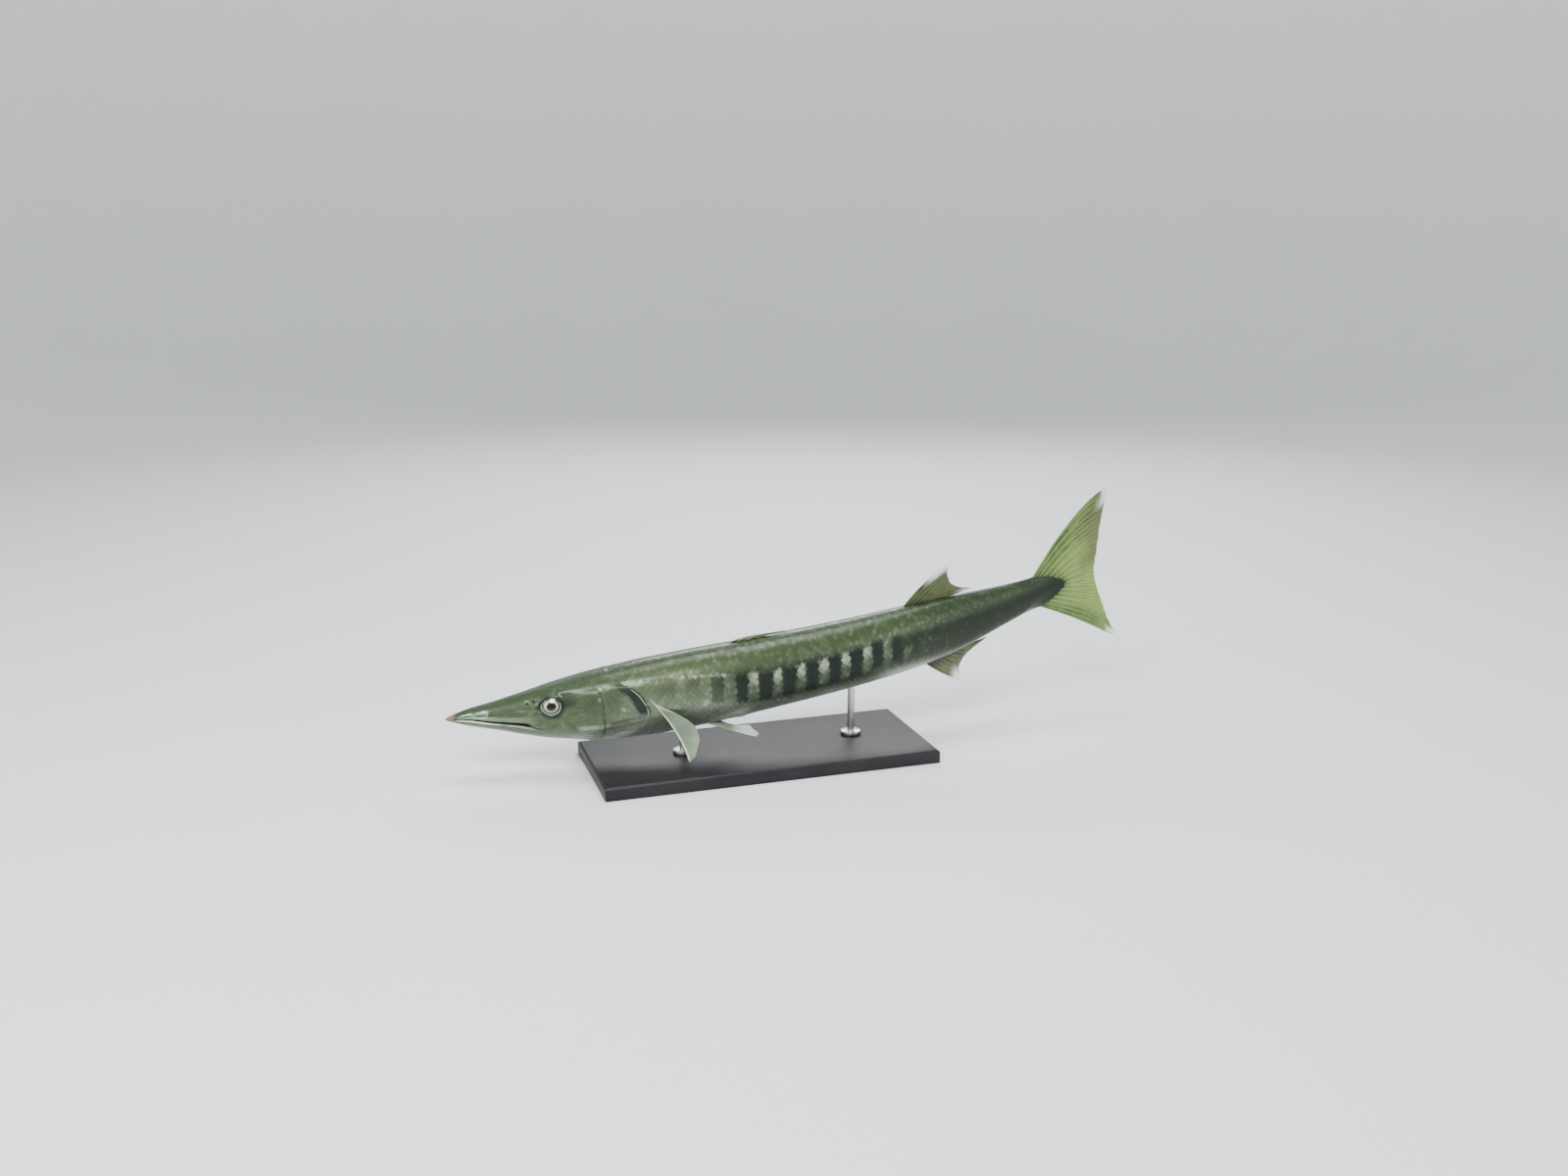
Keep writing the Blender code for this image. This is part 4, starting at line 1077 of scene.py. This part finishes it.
def scaleFinish():
    paint = Paint("barracudaScales", Coat_Roughness=0.14, Specular_IOR_Level=0.38, Coat_IOR=1.4)
    colour, silver, dark, face, cloud, fine = fishColours(paint)
    wide, tall, tone = paint.attribute("scalePlace")
    contrast = 1 - face * 0.55
    # Pigment gathers at the free edge, and each scale has its own tone
    rimShade = (wide * wide + tall * tall * 0.7).rising(0.50, 1.0) * wide.rising(-0.2, 0.5)
    colour = paint.layers(
        colour,
        ((tone - 0.5).atLeast(0.0) * contrast * (1 - dark) * 0.22, scales["pale"]),
        ((0.5 - tone).atLeast(0.0) * contrast * 0.34, scales["dark"]),
        (rimShade * 0.42, scales["rimDark"]),
    )
    # Fine rings of growth about the root
    rings = (((wide + 1.1) ** 2 + tall * tall * 0.8) ** 0.5 * 46.0).cosine()
    normal = paint.bump(rings, 0.00003, 0.35)
    normal = paint.bump(cloud + fine * 0.4, 0.0006, 0.25, normal)
    return paint.lead(
        Base_Color=colour,
        Roughness=0.30 + (1 - tone) * 0.12 + dark * 0.10,
        Metallic=silver * (tone * 0.25 + 0.50),
        Coat_Weight=0.30 - dark * 0.16,
        Normal=normal,
    )


def onBody(station, degrees):
    atFin = bell(station, 0.300 + (degrees - 90) * 0.0013, 0.006) * bell(degrees, 94, 9)
    behindGill = station > gillEdge(degrees) + 0.0030 + 0.0055 * gillWindow(degrees)
    return behindGill & (atFin < 0.6) & (station < stemEnd(degrees) - 0.002)


def firstScales(degrees):
    return 0.180 + 0.016 * bell(degrees, 70, 26) - 0.004 * bell(degrees, 100, 12)


def onFace(station, degrees):  # cheek, gill cover and nape, clear of the eye and of the plates' edges
    last = gillEdge(degrees) - 0.0035 + 0.010 * (1 - ramp(degrees, 40, 50))
    inside = (station > firstScales(degrees)) & (station < last)
    clear = np.abs(station - ridgeStation(degrees) - 0.0016) > 0.0046
    return inside & (degrees < 124) & (clear | (degrees < 48))


def bodySurface(station, degrees):
    return 0.0


def faceSurface(station, degrees):
    degrees = np.minimum(degrees, 360 - degrees)
    edge, window = gillEdge(degrees), gillWindow(degrees)
    height = gillCoverRelief(station, degrees) + faceRelief(station, degrees)
    height = np.where(station > edge, window * relief["flap"], height)
    # The first scales lie sunk in the skin, and at the nape the last ones run in under the body's
    start = firstScales(degrees)
    early = scales["firstSunk"] * (1 - ramp(station, start, start + 0.024))
    late = scales["napeSunk"] * ramp(station, edge - 0.003, edge + 0.007) * (1 - window)
    return height - early - late


scaleSurface = scaleFinish()
for side, word in ((1, "Left"), (-1, "Right")):
    coat = layScales("scales" + word, side, bodyLattice, bodySurface, onBody, 11 + side)
    handOver(coat, "flank", scaleSurface)
    small = layScales("faceScales" + word, side, faceLattice, faceSurface, onFace, 21 + side)
    handOver(small, "head", scaleSurface)


# Lateral line: a row of small raised tubes, one on each scale that it crosses
tube = {"length": 0.0052, "width": 0.0012, "height": 0.00050, "sunk": 0.00010, "from": 0.289, "to": 0.985}


def oneTube():
    nothingSelected()
    bpy.ops.mesh.primitive_uv_sphere_add(segments=8, ring_count=5, radius=1, rotation=(0, math.pi / 2, 0))
    obj = made("tube")
    applyPlace()
    return takeShape(obj)


def buildLateralLine(finish):
    shape, faces = oneTube()
    long, wide, up = shape.T
    parts = []
    for side in (1, -1):
        station = tube["from"]
        while station < tube["to"]:
            scale = scaleStep(station) / scaleStep(0.4)
            arc, turns = arcTable(station)
            places = station + long * tube["length"] * scale / 2 / fish["standardLength"]
            slope = (lineHeight(station + 0.01) - lineHeight(station)) / 0.01 * (places - station)
            metres = np.interp(turnAtHeight(station, lineHeight(station)), turns, arc) - slope
            turn = turnsAlong(arc, turns, metres + wide * tube["width"] * scale / 2)
            points = skinPoint(places, turn, side, up * tube["height"] * scale - tube["sunk"])
            parts.append((points, places, turn, np.full(len(places), side)))
            station += scaleStep(station) / fish["standardLength"]
    points, places, turn, side = (np.stack(part) for part in zip(*parts))
    obj = copiesOf("lateralLine", points, faces)
    places, turn = places.ravel(), turn.ravel()
    markPlaces(obj, places, turn, offset=0.0)
    setAttribute(obj, "scalePlace", (0.0, 0.0, 0.75))
    bakeMap(obj, unwrapSpot(places, np.degrees(turn) / 180, side.ravel()))
    nothingSelected()
    bpy.context.view_layer.objects.active = obj
    closeUp(1e-8)
    return handOver(obj, "flank", finish)


buildLateralLine(scaleSurface)
print("scales done")


# Fins. q runs across a fin from its leading to its last ray, and r along the rays
def arcPoint(root, middle, tip, share):
    share = np.asarray(share)[..., None]
    return (1 - share) ** 2 * root + 2 * share * (1 - share) * middle + share ** 2 * tip


def pairs(*columns):
    return np.stack(np.broadcast_arrays(*columns), -1)


def rayCrest(q, r, fin):  # 1 on a ray's crest, 0 on the membrane. Rays part in two and then in four
    across = q * (fin["rays"] - 1)
    off = across - np.round(across)
    parted = across > fin["spines"] - 0.5
    first = 0.25 * ramp(r, fin["fork"], fin["fork"] + 0.65) * parted
    second = 0.125 * ramp(r, fin["fork"] + 0.30, 1.15) * parted
    width = 0.20 - 0.115 * ramp(r, 0.05, fin["fork"] + 0.40)
    crests = [np.exp(-(((off - a * first - b * second) / width) ** 2)) for a in (-1, 1) for b in (-1, 1)]
    return np.max(crests, axis=0)


def buildFin(name, fin, surface, finish, slotName, *nodes):
    rng = np.random.default_rng(fin["seed"])
    obj = flatGrid(name, (fin["rays"] - 1) * fin["perRay"], fin["steps"])
    flatPoints = pointsOf(obj)
    q, r = flatPoints[:, 0], flatPoints[:, 1]
    crest = rayCrest(q, r, fin)
    lengths = 1 - rng.uniform(0, fin["ragged"], fin["rays"] * 3)
    short = np.interp(q, np.linspace(0, 1, len(lengths)), lengths)
    short = short - fin["notch"] * (1 - rayCrest(q, np.ones(len(q)), fin))
    reach = -fin["sunk"] + r * (1 + fin["sunk"]) * (1 - (1 - short) * ramp(r, 0.55, 1.0))
    movePoints(obj, surface(q, reach))
    setAttribute(obj, "finPlace", (q, r, crest))
    ray = fin["rayRoot"] + (fin["rayTip"] - fin["rayRoot"]) * np.clip(r, 0, 1) ** 0.7
    leading = 1 + fin["leading"] * (1 - ramp(q, 0.0, 1.2 / (fin["rays"] - 1)))
    half = fin["membrane"] + (ray * leading - fin["membrane"]).clip(0) * crest
    most = half.max()
    group = obj.vertex_groups.new(name="thickness")
    for index, weight in enumerate(half / most):
        group.add([index], weight, "REPLACE")
    shell = obj.modifiers.new("thickness", "SOLIDIFY")
    shell.thickness, shell.offset, shell.vertex_group = 2 * most, 0, group.name
    applyModifier(obj, shell)
    obj.vertex_groups.clear()
    closeUp()
    print(name + ":", len(obj.data.polygons), "faces")
    return handOver(obj, slotName, finish, *nodes)


def finFinish(name, look):
    paint = Paint(name, Coat_Roughness=0.20, Specular_IOR_Level=0.45)
    q, r, crest = paint.attribute("finPlace")
    cloud = paint.noise(55.0, 4.0)
    fine = paint.noise(420.0, 3.0)

    def patchMask(fromQ, fullQ, fallQ, toQ, fromR, toR, strength):
        across = (q + (fine - 0.5) * 0.05).between(fromQ, fullQ, fallQ, toQ)
        return across * (r + (cloud - 0.5) * 0.25).rising(fromR, toR) * strength

    colour = paint.layers(
        paint.mix(cloud.rising(0.30, 0.70), look["membrane"], look["membraneDark"]),
        (crest.rising(0.15, 0.85) * 0.80, look["ray"]),
        # The root colour: a painted highlight on the pectorals, painted shade at the anal fin's base
        ((1 - r.rising(0.0, look["rootReach"])) * 0.80, look["root"]),
        (fine.rising(0.55, 0.75) * 0.35, look["membraneDark"]),
        *((patchMask(*patch[:-1]), patch[-1]) for patch in look["patches"]),
    )
    joints = (r * look["joints"] * 2 * math.pi).cosine() * crest * r.rising(0.20, 0.35)
    return paint.lead(
        Base_Color=colour,
        Roughness=0.36 + cloud * 0.18 - crest * 0.08,
        Metallic=crest * 0.05,
        Coat_Weight=0.25 + crest * 0.15,
        Normal=paint.bump(fine, 0.00025, 0.35, paint.bump(joints, 0.00012, 0.45)),
    )


gap = 0.0003  # between a fin and the flesh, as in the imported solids
# A fin has perRay columns of faces from ray to ray and steps along them. Rays part at the share fork.
# ragged and notch shorten the edge, sunk goes into the flesh, and the thicknesses are halves
commonFin = {
    "spines": 1, "perRay": 16, "steps": 64, "fork": 0.22, "ragged": 0.03, "notch": 0.035, "sunk": 0.06,
    "rayRoot": 0.00110, "rayTip": 0.00026, "membrane": 0.00016, "leading": 0.5,
}
dorsalFront = dict(
    commonFin, rays=5, spines=5, perRay=10, steps=40, fork=0.6, ragged=0.02, notch=0.05, sunk=0.10,
    rayRoot=0.00120, rayTip=0.00045, membrane=0.00022, leading=0.1, seed=31,
)
dorsalRear = dict(commonFin, rays=10, seed=32)
anal = dict(commonFin, rays=10, rayRoot=0.00105, seed=33)
tail = dict(
    commonFin, rays=17, spines=0, steps=84, fork=0.14, ragged=0.02, notch=0.016, sunk=0.10,
    rayRoot=0.00135, rayTip=0.00028, membrane=0.00020, leading=0.4, seed=34,
)
pectoral = dict(
    commonFin, rays=13, perRay=14, fork=0.28, notch=0.030, sunk=0.10,
    rayTip=0.00022, membrane=0.00015, seed=35,
)
pelvic = dict(
    commonFin, rays=6, perRay=20, steps=56, fork=0.24, sunk=0.12,
    rayTip=0.00024, membrane=0.00015, leading=0.4, seed=36,
)


def middlePlane(stationHeight, wave):
    return place(stationHeight[..., 0], wave, stationHeight[..., 1])


def foldedFin(q, r):
    tips = profile((0.0, 0.474), (0.5, 0.501), (1.0, 0.521))(q)
    start = 0.424 + 0.056 * q
    over = 0.0050 - 0.0030 * q
    root = pairs(start, back(start) + gap)
    middle = pairs(start + 0.016, back(start + 0.016) + over * 1.3)
    tip = pairs(tips, back(tips) + over * 0.7)
    return middlePlane(arcPoint(root, middle, tip, r), 0.0003 * np.sin(q * 14))


def uprightFin(way, flesh, roots, arch, wave, phase, *tips):  # way is up or down. Tips by q
    stations, heights = (profile(*((tip[0], tip[i]) for tip in tips)) for i in (1, 2))

    def surface(q, r):
        start = roots[0] + roots[1] * q
        root = pairs(start, way * (flesh(start) + gap))
        tip = pairs(stations(q), heights(q))
        middle = (root + tip) / 2 + pairs(0.0, way * arch * (1 - q) ** 2)
        sway = way * wave * np.sin(q * 5 + phase) * np.maximum(r, 0) ** 2
        return middlePlane(arcPoint(root, middle, tip, r), sway)

    return surface


standingFin = uprightFin(
    1, back, (0.712, 0.083), 0.010, 0.0016, 0.4,
    (0.0, 0.802, 0.0905), (0.25, 0.797, 0.0740), (0.5, 0.801, 0.0605), (0.75, 0.815, 0.0510),
    (1.0, 0.842, 0.0432),
)
hangingFin = uprightFin(
    -1, belly, (0.738, 0.077), 0.006, 0.0014, 0.0,
    (0.0, 0.802, -0.0895), (0.3, 0.799, -0.0700), (0.6, 0.813, -0.0520), (1.0, 0.856, -0.0348),
)


# The tail fin's rear edge: station by height over the axis
trailing = profile(
    (-0.1125, 1.108), (-0.0830, 1.091), (-0.0490, 1.080), (0.001, 1.072), (0.0428, 1.083),
    (0.0711, 1.091), (0.0963, 1.101), (0.1295, 1.114),
)


def forkedFin(q, r):
    upper = q <= 0.5
    share = np.where(upper, q, 1 - q) * 2
    leading = np.where(upper, 10, 170)
    degrees = leading + (90 - leading) * share
    station = stemEnd(degrees)
    root = pairs(station + gap * 1.4 / fish["standardLength"], fleshAt(station, np.radians(degrees))[1])
    tipHeight = np.where(upper, 0.1290, -0.1120)
    height = tipHeight + (0.001 - tipHeight) * share ** 0.85
    tip = pairs(trailing(height), height)
    pull = (1 - share) ** 1.6
    bulge = pairs(np.where(upper, 0.014, 0.007) * pull, np.where(upper, 0.036, 0.004) * pull)
    along = arcPoint(root, (root + tip) / 2 + bulge, tip, r)
    inner = r < 0
    along[..., 0] = np.where(inner, root[..., 0] + r * 0.075, along[..., 0])
    along[..., 1] = np.where(inner, root[..., 1] * (1 + r * 0.6), along[..., 1])
    return middlePlane(along, 0.0022 * np.sin(q * 9 + 0.5) * np.maximum(r, 0) ** 2)


def sideFin(side, rootLine, middles, tips):  # rows of q, station, leftward and height
    middleLines, tipLines = (
        [profile(*((row[0], row[i]) for row in rows)) for i in (1, 2, 3)] for rows in (middles, tips)
    )

    def surface(q, r):
        (station0, degrees0), (station1, degrees1) = rootLine
        station, degrees = station0 + (station1 - station0) * q, degrees0 + (degrees1 - degrees0) * q
        root = skinPoint(station, np.radians(degrees), side, gap * 1.3)
        middle, tip = (place(line[0](q), side * line[1](q), line[2](q)) for line in (middleLines, tipLines))
        return arcPoint(root, middle, tip, r)

    return surface


breastLine = ((0.2945, 86.0), (0.3170, 103.0))
hipLine = ((0.372, 148.0), (0.394, 163.0))
nearPectoral = sideFin(
    1, breastLine,
    ((0.0, 0.327, 0.0590, -0.0405), (1.0, 0.3465, 0.0565, -0.0275)),
    (
        (0.0, 0.3325, 0.0765, -0.0790), (0.3, 0.339, 0.0750, -0.0765), (0.6, 0.347, 0.0710, -0.0640),
        (0.85, 0.3515, 0.0670, -0.0510), (1.0, 0.3500, 0.0635, -0.0400),
    ),
)
farPectoral = sideFin(
    -1, breastLine,
    ((0.0, 0.330, 0.0580, -0.0260), (1.0, 0.340, 0.0540, -0.0170)),
    (
        (0.0, 0.384, 0.0640, -0.0430), (0.3, 0.385, 0.0620, -0.0370), (0.6, 0.377, 0.0590, -0.0290),
        (1.0, 0.360, 0.0560, -0.0200),
    ),
)
nearPelvic = sideFin(
    1, hipLine,
    ((0.0, 0.402, 0.0330, -0.0600), (1.0, 0.410, 0.0200, -0.0600)),
    ((0.0, 0.438, 0.0440, -0.0720), (0.4, 0.443, 0.0390, -0.0705), (1.0, 0.434, 0.0220, -0.0610)),
)
farPelvic = sideFin(
    -1, hipLine,
    ((0.0, 0.405, 0.0270, -0.0560), (1.0, 0.412, 0.0140, -0.0590)),
    ((0.0, 0.447, 0.0230, -0.0580), (0.4, 0.450, 0.0190, -0.0605), (1.0, 0.434, 0.0110, -0.0610)),
)

oliveDark, white = (0.034, 0.050, 0.018), (0.800, 0.840, 0.780)
# A patch has its start, full, fall and end across the fin, its start and full along the rays, its
# strength and its colour
backLook = {
    "membrane": (0.082, 0.112, 0.036), "membraneDark": oliveDark, "ray": (0.150, 0.168, 0.075),
    "root": (0.024, 0.032, 0.016), "rootReach": 0.22, "joints": 40,
    "patches": (
        (-1.0, -0.5, 0.03, 0.20, 0.40, 0.72, 0.95, white), (0.80, 0.98, 1.5, 2.0, 0.30, 0.80, 0.60, white),
    ),
}
# The white patch on the folded spines is a painted highlight
foldedLook = {
    "membrane": (0.110, 0.130, 0.070), "membraneDark": oliveDark, "ray": (0.420, 0.460, 0.330),
    "root": oliveDark, "rootReach": 0.15, "joints": 2,
    "patches": ((-1.0, -0.5, 0.10, 0.30, 0.10, 0.40, 0.60, white),),
}
# The anal fin's dark root is painted shade where the fin meets the belly
analLook = {
    "membrane": (0.130, 0.145, 0.062), "membraneDark": (0.055, 0.068, 0.028), "ray": (0.180, 0.195, 0.100),
    "root": (0.014, 0.018, 0.012), "rootReach": 0.44, "joints": 36,
    "patches": ((-1.0, -0.5, 0.10, 0.42, 0.58, 0.88, 0.95, white),),
}
tailLook = {
    "membrane": (0.135, 0.210, 0.056), "membraneDark": (0.060, 0.100, 0.028), "ray": (0.245, 0.345, 0.110),
    "root": (0.035, 0.048, 0.020), "rootReach": 0.18, "joints": 60,
    "patches": (
        (0.10, 0.25, 0.75, 0.90, 0.12, 0.32, 0.40, (0.340, 0.450, 0.130)),
        (-1.0, -0.5, 0.34, 0.50, 0.50, 0.90, 0.55, (0.085, 0.075, 0.040)),
        (0.90, 0.97, 1.5, 2.0, 0.80, 0.94, 0.95, white),
        (-1.0, -0.5, 0.03, 0.10, 0.86, 0.97, 0.80, white),
    ),
}
# The pectorals' pale root and pale leading edge are painted highlights
pectoralLook = {
    "membrane": (0.165, 0.220, 0.150), "membraneDark": (0.090, 0.130, 0.080), "ray": (0.340, 0.420, 0.290),
    "root": (0.780, 0.840, 0.740), "rootReach": 0.24, "joints": 40,
    "patches": ((-1.0, -0.5, 0.05, 0.15, 0.02, 0.20, 0.80, (0.680, 0.760, 0.650)),),
}
pelvicLook = {
    "membrane": (0.220, 0.280, 0.210), "membraneDark": (0.120, 0.165, 0.110), "ray": (0.400, 0.480, 0.360),
    "root": (0.100, 0.120, 0.090), "rootReach": 0.30, "joints": 36,
    "patches": ((-1.0, -0.5, 1.5, 2.0, 0.45, 0.80, 0.70, white),),
}
finish = finFinish("foldedFin", foldedLook)
buildFin("dorsalFinFront", dorsalFront, foldedFin, finish, "dark_fin", "dorsal_fin_front")
finish = finFinish("backFin", backLook)
buildFin("dorsalFinRear", dorsalRear, standingFin, finish, "dark_fin", "dorsal_fin_rear")
finish = finFinish("analFinSurface", analLook)
buildFin("analFin", anal, hangingFin, finish, "dark_fin", "anal_fin")
finish = finFinish("tailFinSurface", tailLook)
buildFin("tailFin", tail, forkedFin, finish, "dark_fin", "tail_fin_upper", "tail_fin_lower")
finish = finFinish("pectoralFins", pectoralLook)
buildFin("pectoralFinLeft", pectoral, nearPectoral, finish, "pale_fin", "pectoral_fin_left")
buildFin("pectoralFinRight", pectoral, farPectoral, finish, "pale_fin", "pectoral_fin_right")
finish = finFinish("pelvicFins", pelvicLook)
buildFin("pelvicFinLeft", pelvic, nearPelvic, finish, "pale_fin", "pelvic_fin_left")
buildFin("pelvicFinRight", pelvic, farPelvic, finish, "pale_fin", "pelvic_fin_right")


# Stand
stand = {
    "edge": 0.004, "edgeSteps": 5, "otherEdges": (0.0008, 2), "footEdges": (0.0006, 3),
    "rodSides": 48, "rodRadius": 0.005, "footRadius": 0.014, "footHeight": 0.005,
    "collarWidth": 0.0072,  # from the foot's rim in to the raised collar round the rod
    "collarRise": 0.0012,
    "rodInBelly": 0.0008,
    "sharpFrom": 30,  # degrees
    "blacks": ((0.014, 0.014, 0.016), (0.024, 0.024, 0.026)),
    "steels": ((0.46, 0.47, 0.48), (0.66, 0.66, 0.65)),
}


def buildBase(finish):
    low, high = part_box("stand_base")
    nothingSelected()
    bpy.ops.mesh.primitive_cube_add(size=1, location=(low + high) / 2, scale=high - low)
    obj = made("standBase")
    applyPlace()
    points, top = obj.data.vertices, high.z - 1e-4
    upper = [all(points[index].co.z > top for index in edge.vertices) for edge in obj.data.edges]
    editOnly(obj, "EDGE", upper)
    bpy.ops.mesh.bevel(offset=stand["edge"], segments=stand["edgeSteps"], affect="EDGES")
    bpy.ops.object.mode_set(mode="OBJECT")
    softenEdges(obj, *stand["otherEdges"])
    smoothUpTo(obj, stand["sharpFrom"])
    return handOver(obj, "base", finish, "stand_base")


def upright(radius, middle, start, end):
    centre = (middle.x, middle.y, (start + end) / 2)
    bpy.ops.mesh.primitive_cylinder_add(
        vertices=stand["rodSides"], radius=radius, depth=end - start, location=centre,
    )


def buildRod(name, node, finish):
    low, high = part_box(node)
    middle = (low + high) / 2
    nothingSelected()
    upright(stand["rodRadius"], middle, low.z + stand["footHeight"] / 2, high.z + stand["rodInBelly"])
    rod = made(name)
    upright(stand["footRadius"], middle, low.z, low.z + stand["footHeight"])
    foot = made("foot")
    editOnly(foot, "FACE", facesUp(foot))
    bpy.ops.mesh.inset(thickness=stand["collarWidth"])
    bpy.ops.transform.translate(value=(0, 0, stand["collarRise"]))
    bpy.ops.object.mode_set(mode="OBJECT")
    softenEdges(foot, *stand["footEdges"])
    nothingSelected()
    rod.select_set(True)
    foot.select_set(True)
    bpy.context.view_layer.objects.active = rod
    bpy.ops.object.join()
    applyPlace()
    smoothUpTo(rod, stand["sharpFrom"])
    return handOver(rod, "rod", finish, node)


def baseFinish():
    paint = Paint("satinBlack", Metallic=0.0, Specular_IOR_Level=0.5)
    grain = paint.cells(1500.0)
    colour = paint.mix(paint.noise(9.0, 4.0).rising(0.3, 0.7), *stand["blacks"])
    rough = 0.36 + paint.noise(3.0, 2.0) * 0.12 + grain * 0.04
    return paint.lead(Base_Color=colour, Roughness=rough, Normal=paint.bump(grain, 0.00006, 0.5))


def rodFinish():
    paint = Paint("brushedSteel", Metallic=1.0)
    stretched = paint.node("Mapping", {}, {"Vector": paint.ownPlace(), "Scale": (1.0, 1.0, 60.0)})
    lines = paint.noise(90.0, 3.0, vector=stretched)
    colour = paint.mix(lines, *stand["steels"])
    normal = paint.bump(lines, 0.00004, 0.4)
    return paint.lead(Base_Color=colour, Roughness=0.24 + lines * 0.14, Normal=normal)


buildBase(baseFinish())
rodSurface = rodFinish()
buildRod("standRodFront", "stand_rod_front", rodSurface)
buildRod("standRodRear", "stand_rod_rear", rodSurface)
print("stand done")


# Room: a pale floor that rises into a round backdrop
room = {
    "sides": 128, "flatReach": 3.3, "curve": 2.2, "wall": 2.4, "steps": 24,
    "floor": ((0.80, 0.81, 0.82), 0.97),  # colour, and the share of it in the cloudy parts
    "glow": (0.150, 0.152, 0.155),  # light that the backdrop gives off above the floor
    "daylight": (0.80, 0.84, 0.88),
    "daylightStrength": 0.42,
    "lightsAim": (0, 0, 0.16),
}


def buildFloor():
    nothingSelected()
    bpy.ops.mesh.primitive_circle_add(vertices=room["sides"], radius=room["flatReach"], fill_type="NGON")
    floor = made("floor")
    bpy.ops.object.mode_set(mode="EDIT")
    bpy.ops.mesh.select_mode(type="EDGE")
    bpy.ops.mesh.select_all(action="SELECT")
    reach, height = room["flatReach"], 0.0
    for k in range(room["steps"] + 1):
        angle = min((k + 1) / room["steps"], 1.0) * math.pi / 2
        wall = room["wall"] if k == room["steps"] else 0.0
        newReach = room["flatReach"] + room["curve"] * math.sin(angle)
        newHeight = room["curve"] * (1 - math.cos(angle)) + wall
        bpy.ops.mesh.extrude_edges_move(TRANSFORM_OT_translate={"value": (0, 0, newHeight - height)})
        bpy.ops.transform.resize(value=(newReach / reach, newReach / reach, 1))
        reach, height = newReach, newHeight
    bpy.ops.object.mode_set(mode="OBJECT")
    bpy.ops.object.shade_smooth()
    paint = Paint("paleFloor", Specular_IOR_Level=0.25, Emission_Strength=1.0)
    cloud = paint.noise(3.0, 3.0)
    height = paint.node("SeparateXYZ", values={0: paint.ownPlace()}).other(2)
    glow = paint.mix(height.rising(-0.2, 2.4), (0.0, 0.0, 0.0), room["glow"])
    tint, shade = room["floor"]
    colour = paint.mix(cloud, tint, tuple(value * shade for value in tint))
    rough = 0.62 + cloud * 0.1
    floor.data.materials.append(paint.lead(Base_Color=colour, Roughness=rough, Emission_Color=glow))


camera = {
    "azimuth": -18.0, "elevation": 14.0, "lens": 35.0, "sensor": 36.0, "near": 0.05, "far": 60.0,
    "offset": (-0.1648, -1.9332, 0.6479),  # from the jaw's tip
}


def addCamera():
    data = bpy.data.cameras.new("camera")
    data.lens, data.sensor_width = camera["lens"], camera["sensor"]
    data.clip_start, data.clip_end = camera["near"], camera["far"]
    obj = linked("camera", data)
    a, e = math.radians(camera["azimuth"]), math.radians(camera["elevation"])
    backward = Vector((math.sin(a) * math.cos(e), -math.cos(a) * math.cos(e), math.sin(e)))
    obj.location = Vector(place(0.0, 0.0, 0.0)) + Vector(camera["offset"])
    obj.rotation_euler = backward.to_track_quat("Z", "Y").to_euler()
    bpy.context.scene.camera = obj


# Soft boxes that face the fish: place, width, height and power
lights = {
    "key": ((-1.3, -1.9, 2.2), 1.5, 1.0, 66.0),
    "fill": ((2.1, -2.0, 1.2), 1.6, 1.6, 14.0),
    "front": ((-2.4, -0.7, 0.9), 0.8, 1.2, 10.0),
    "top": ((0.1, 0.4, 2.9), 2.2, 1.2, 44.0),
    "rim": ((0.9, 2.4, 1.6), 2.2, 0.8, 26.0),
}


def addLights():
    aim = Vector(room["lightsAim"])
    for name, (spot, width, height, power) in lights.items():
        data = bpy.data.lights.new(name, "AREA")
        data.shape, data.size, data.size_y, data.energy = "RECTANGLE", width, height, power
        obj = linked(name, data)
        obj.location = spot
        obj.rotation_euler = (Vector(spot) - aim).to_track_quat("Z", "Y").to_euler()
    world = bpy.data.worlds.new("room")
    world.use_nodes = True
    background = world.node_tree.nodes["Background"]
    background.inputs["Color"].default_value = (*room["daylight"], 1.0)
    background.inputs["Strength"].default_value = room["daylightStrength"]
    bpy.context.scene.world = world
    bpy.context.scene.view_settings.look = "AgX - Medium High Contrast"


buildFloor()
addLights()
addCamera()
print("room done")
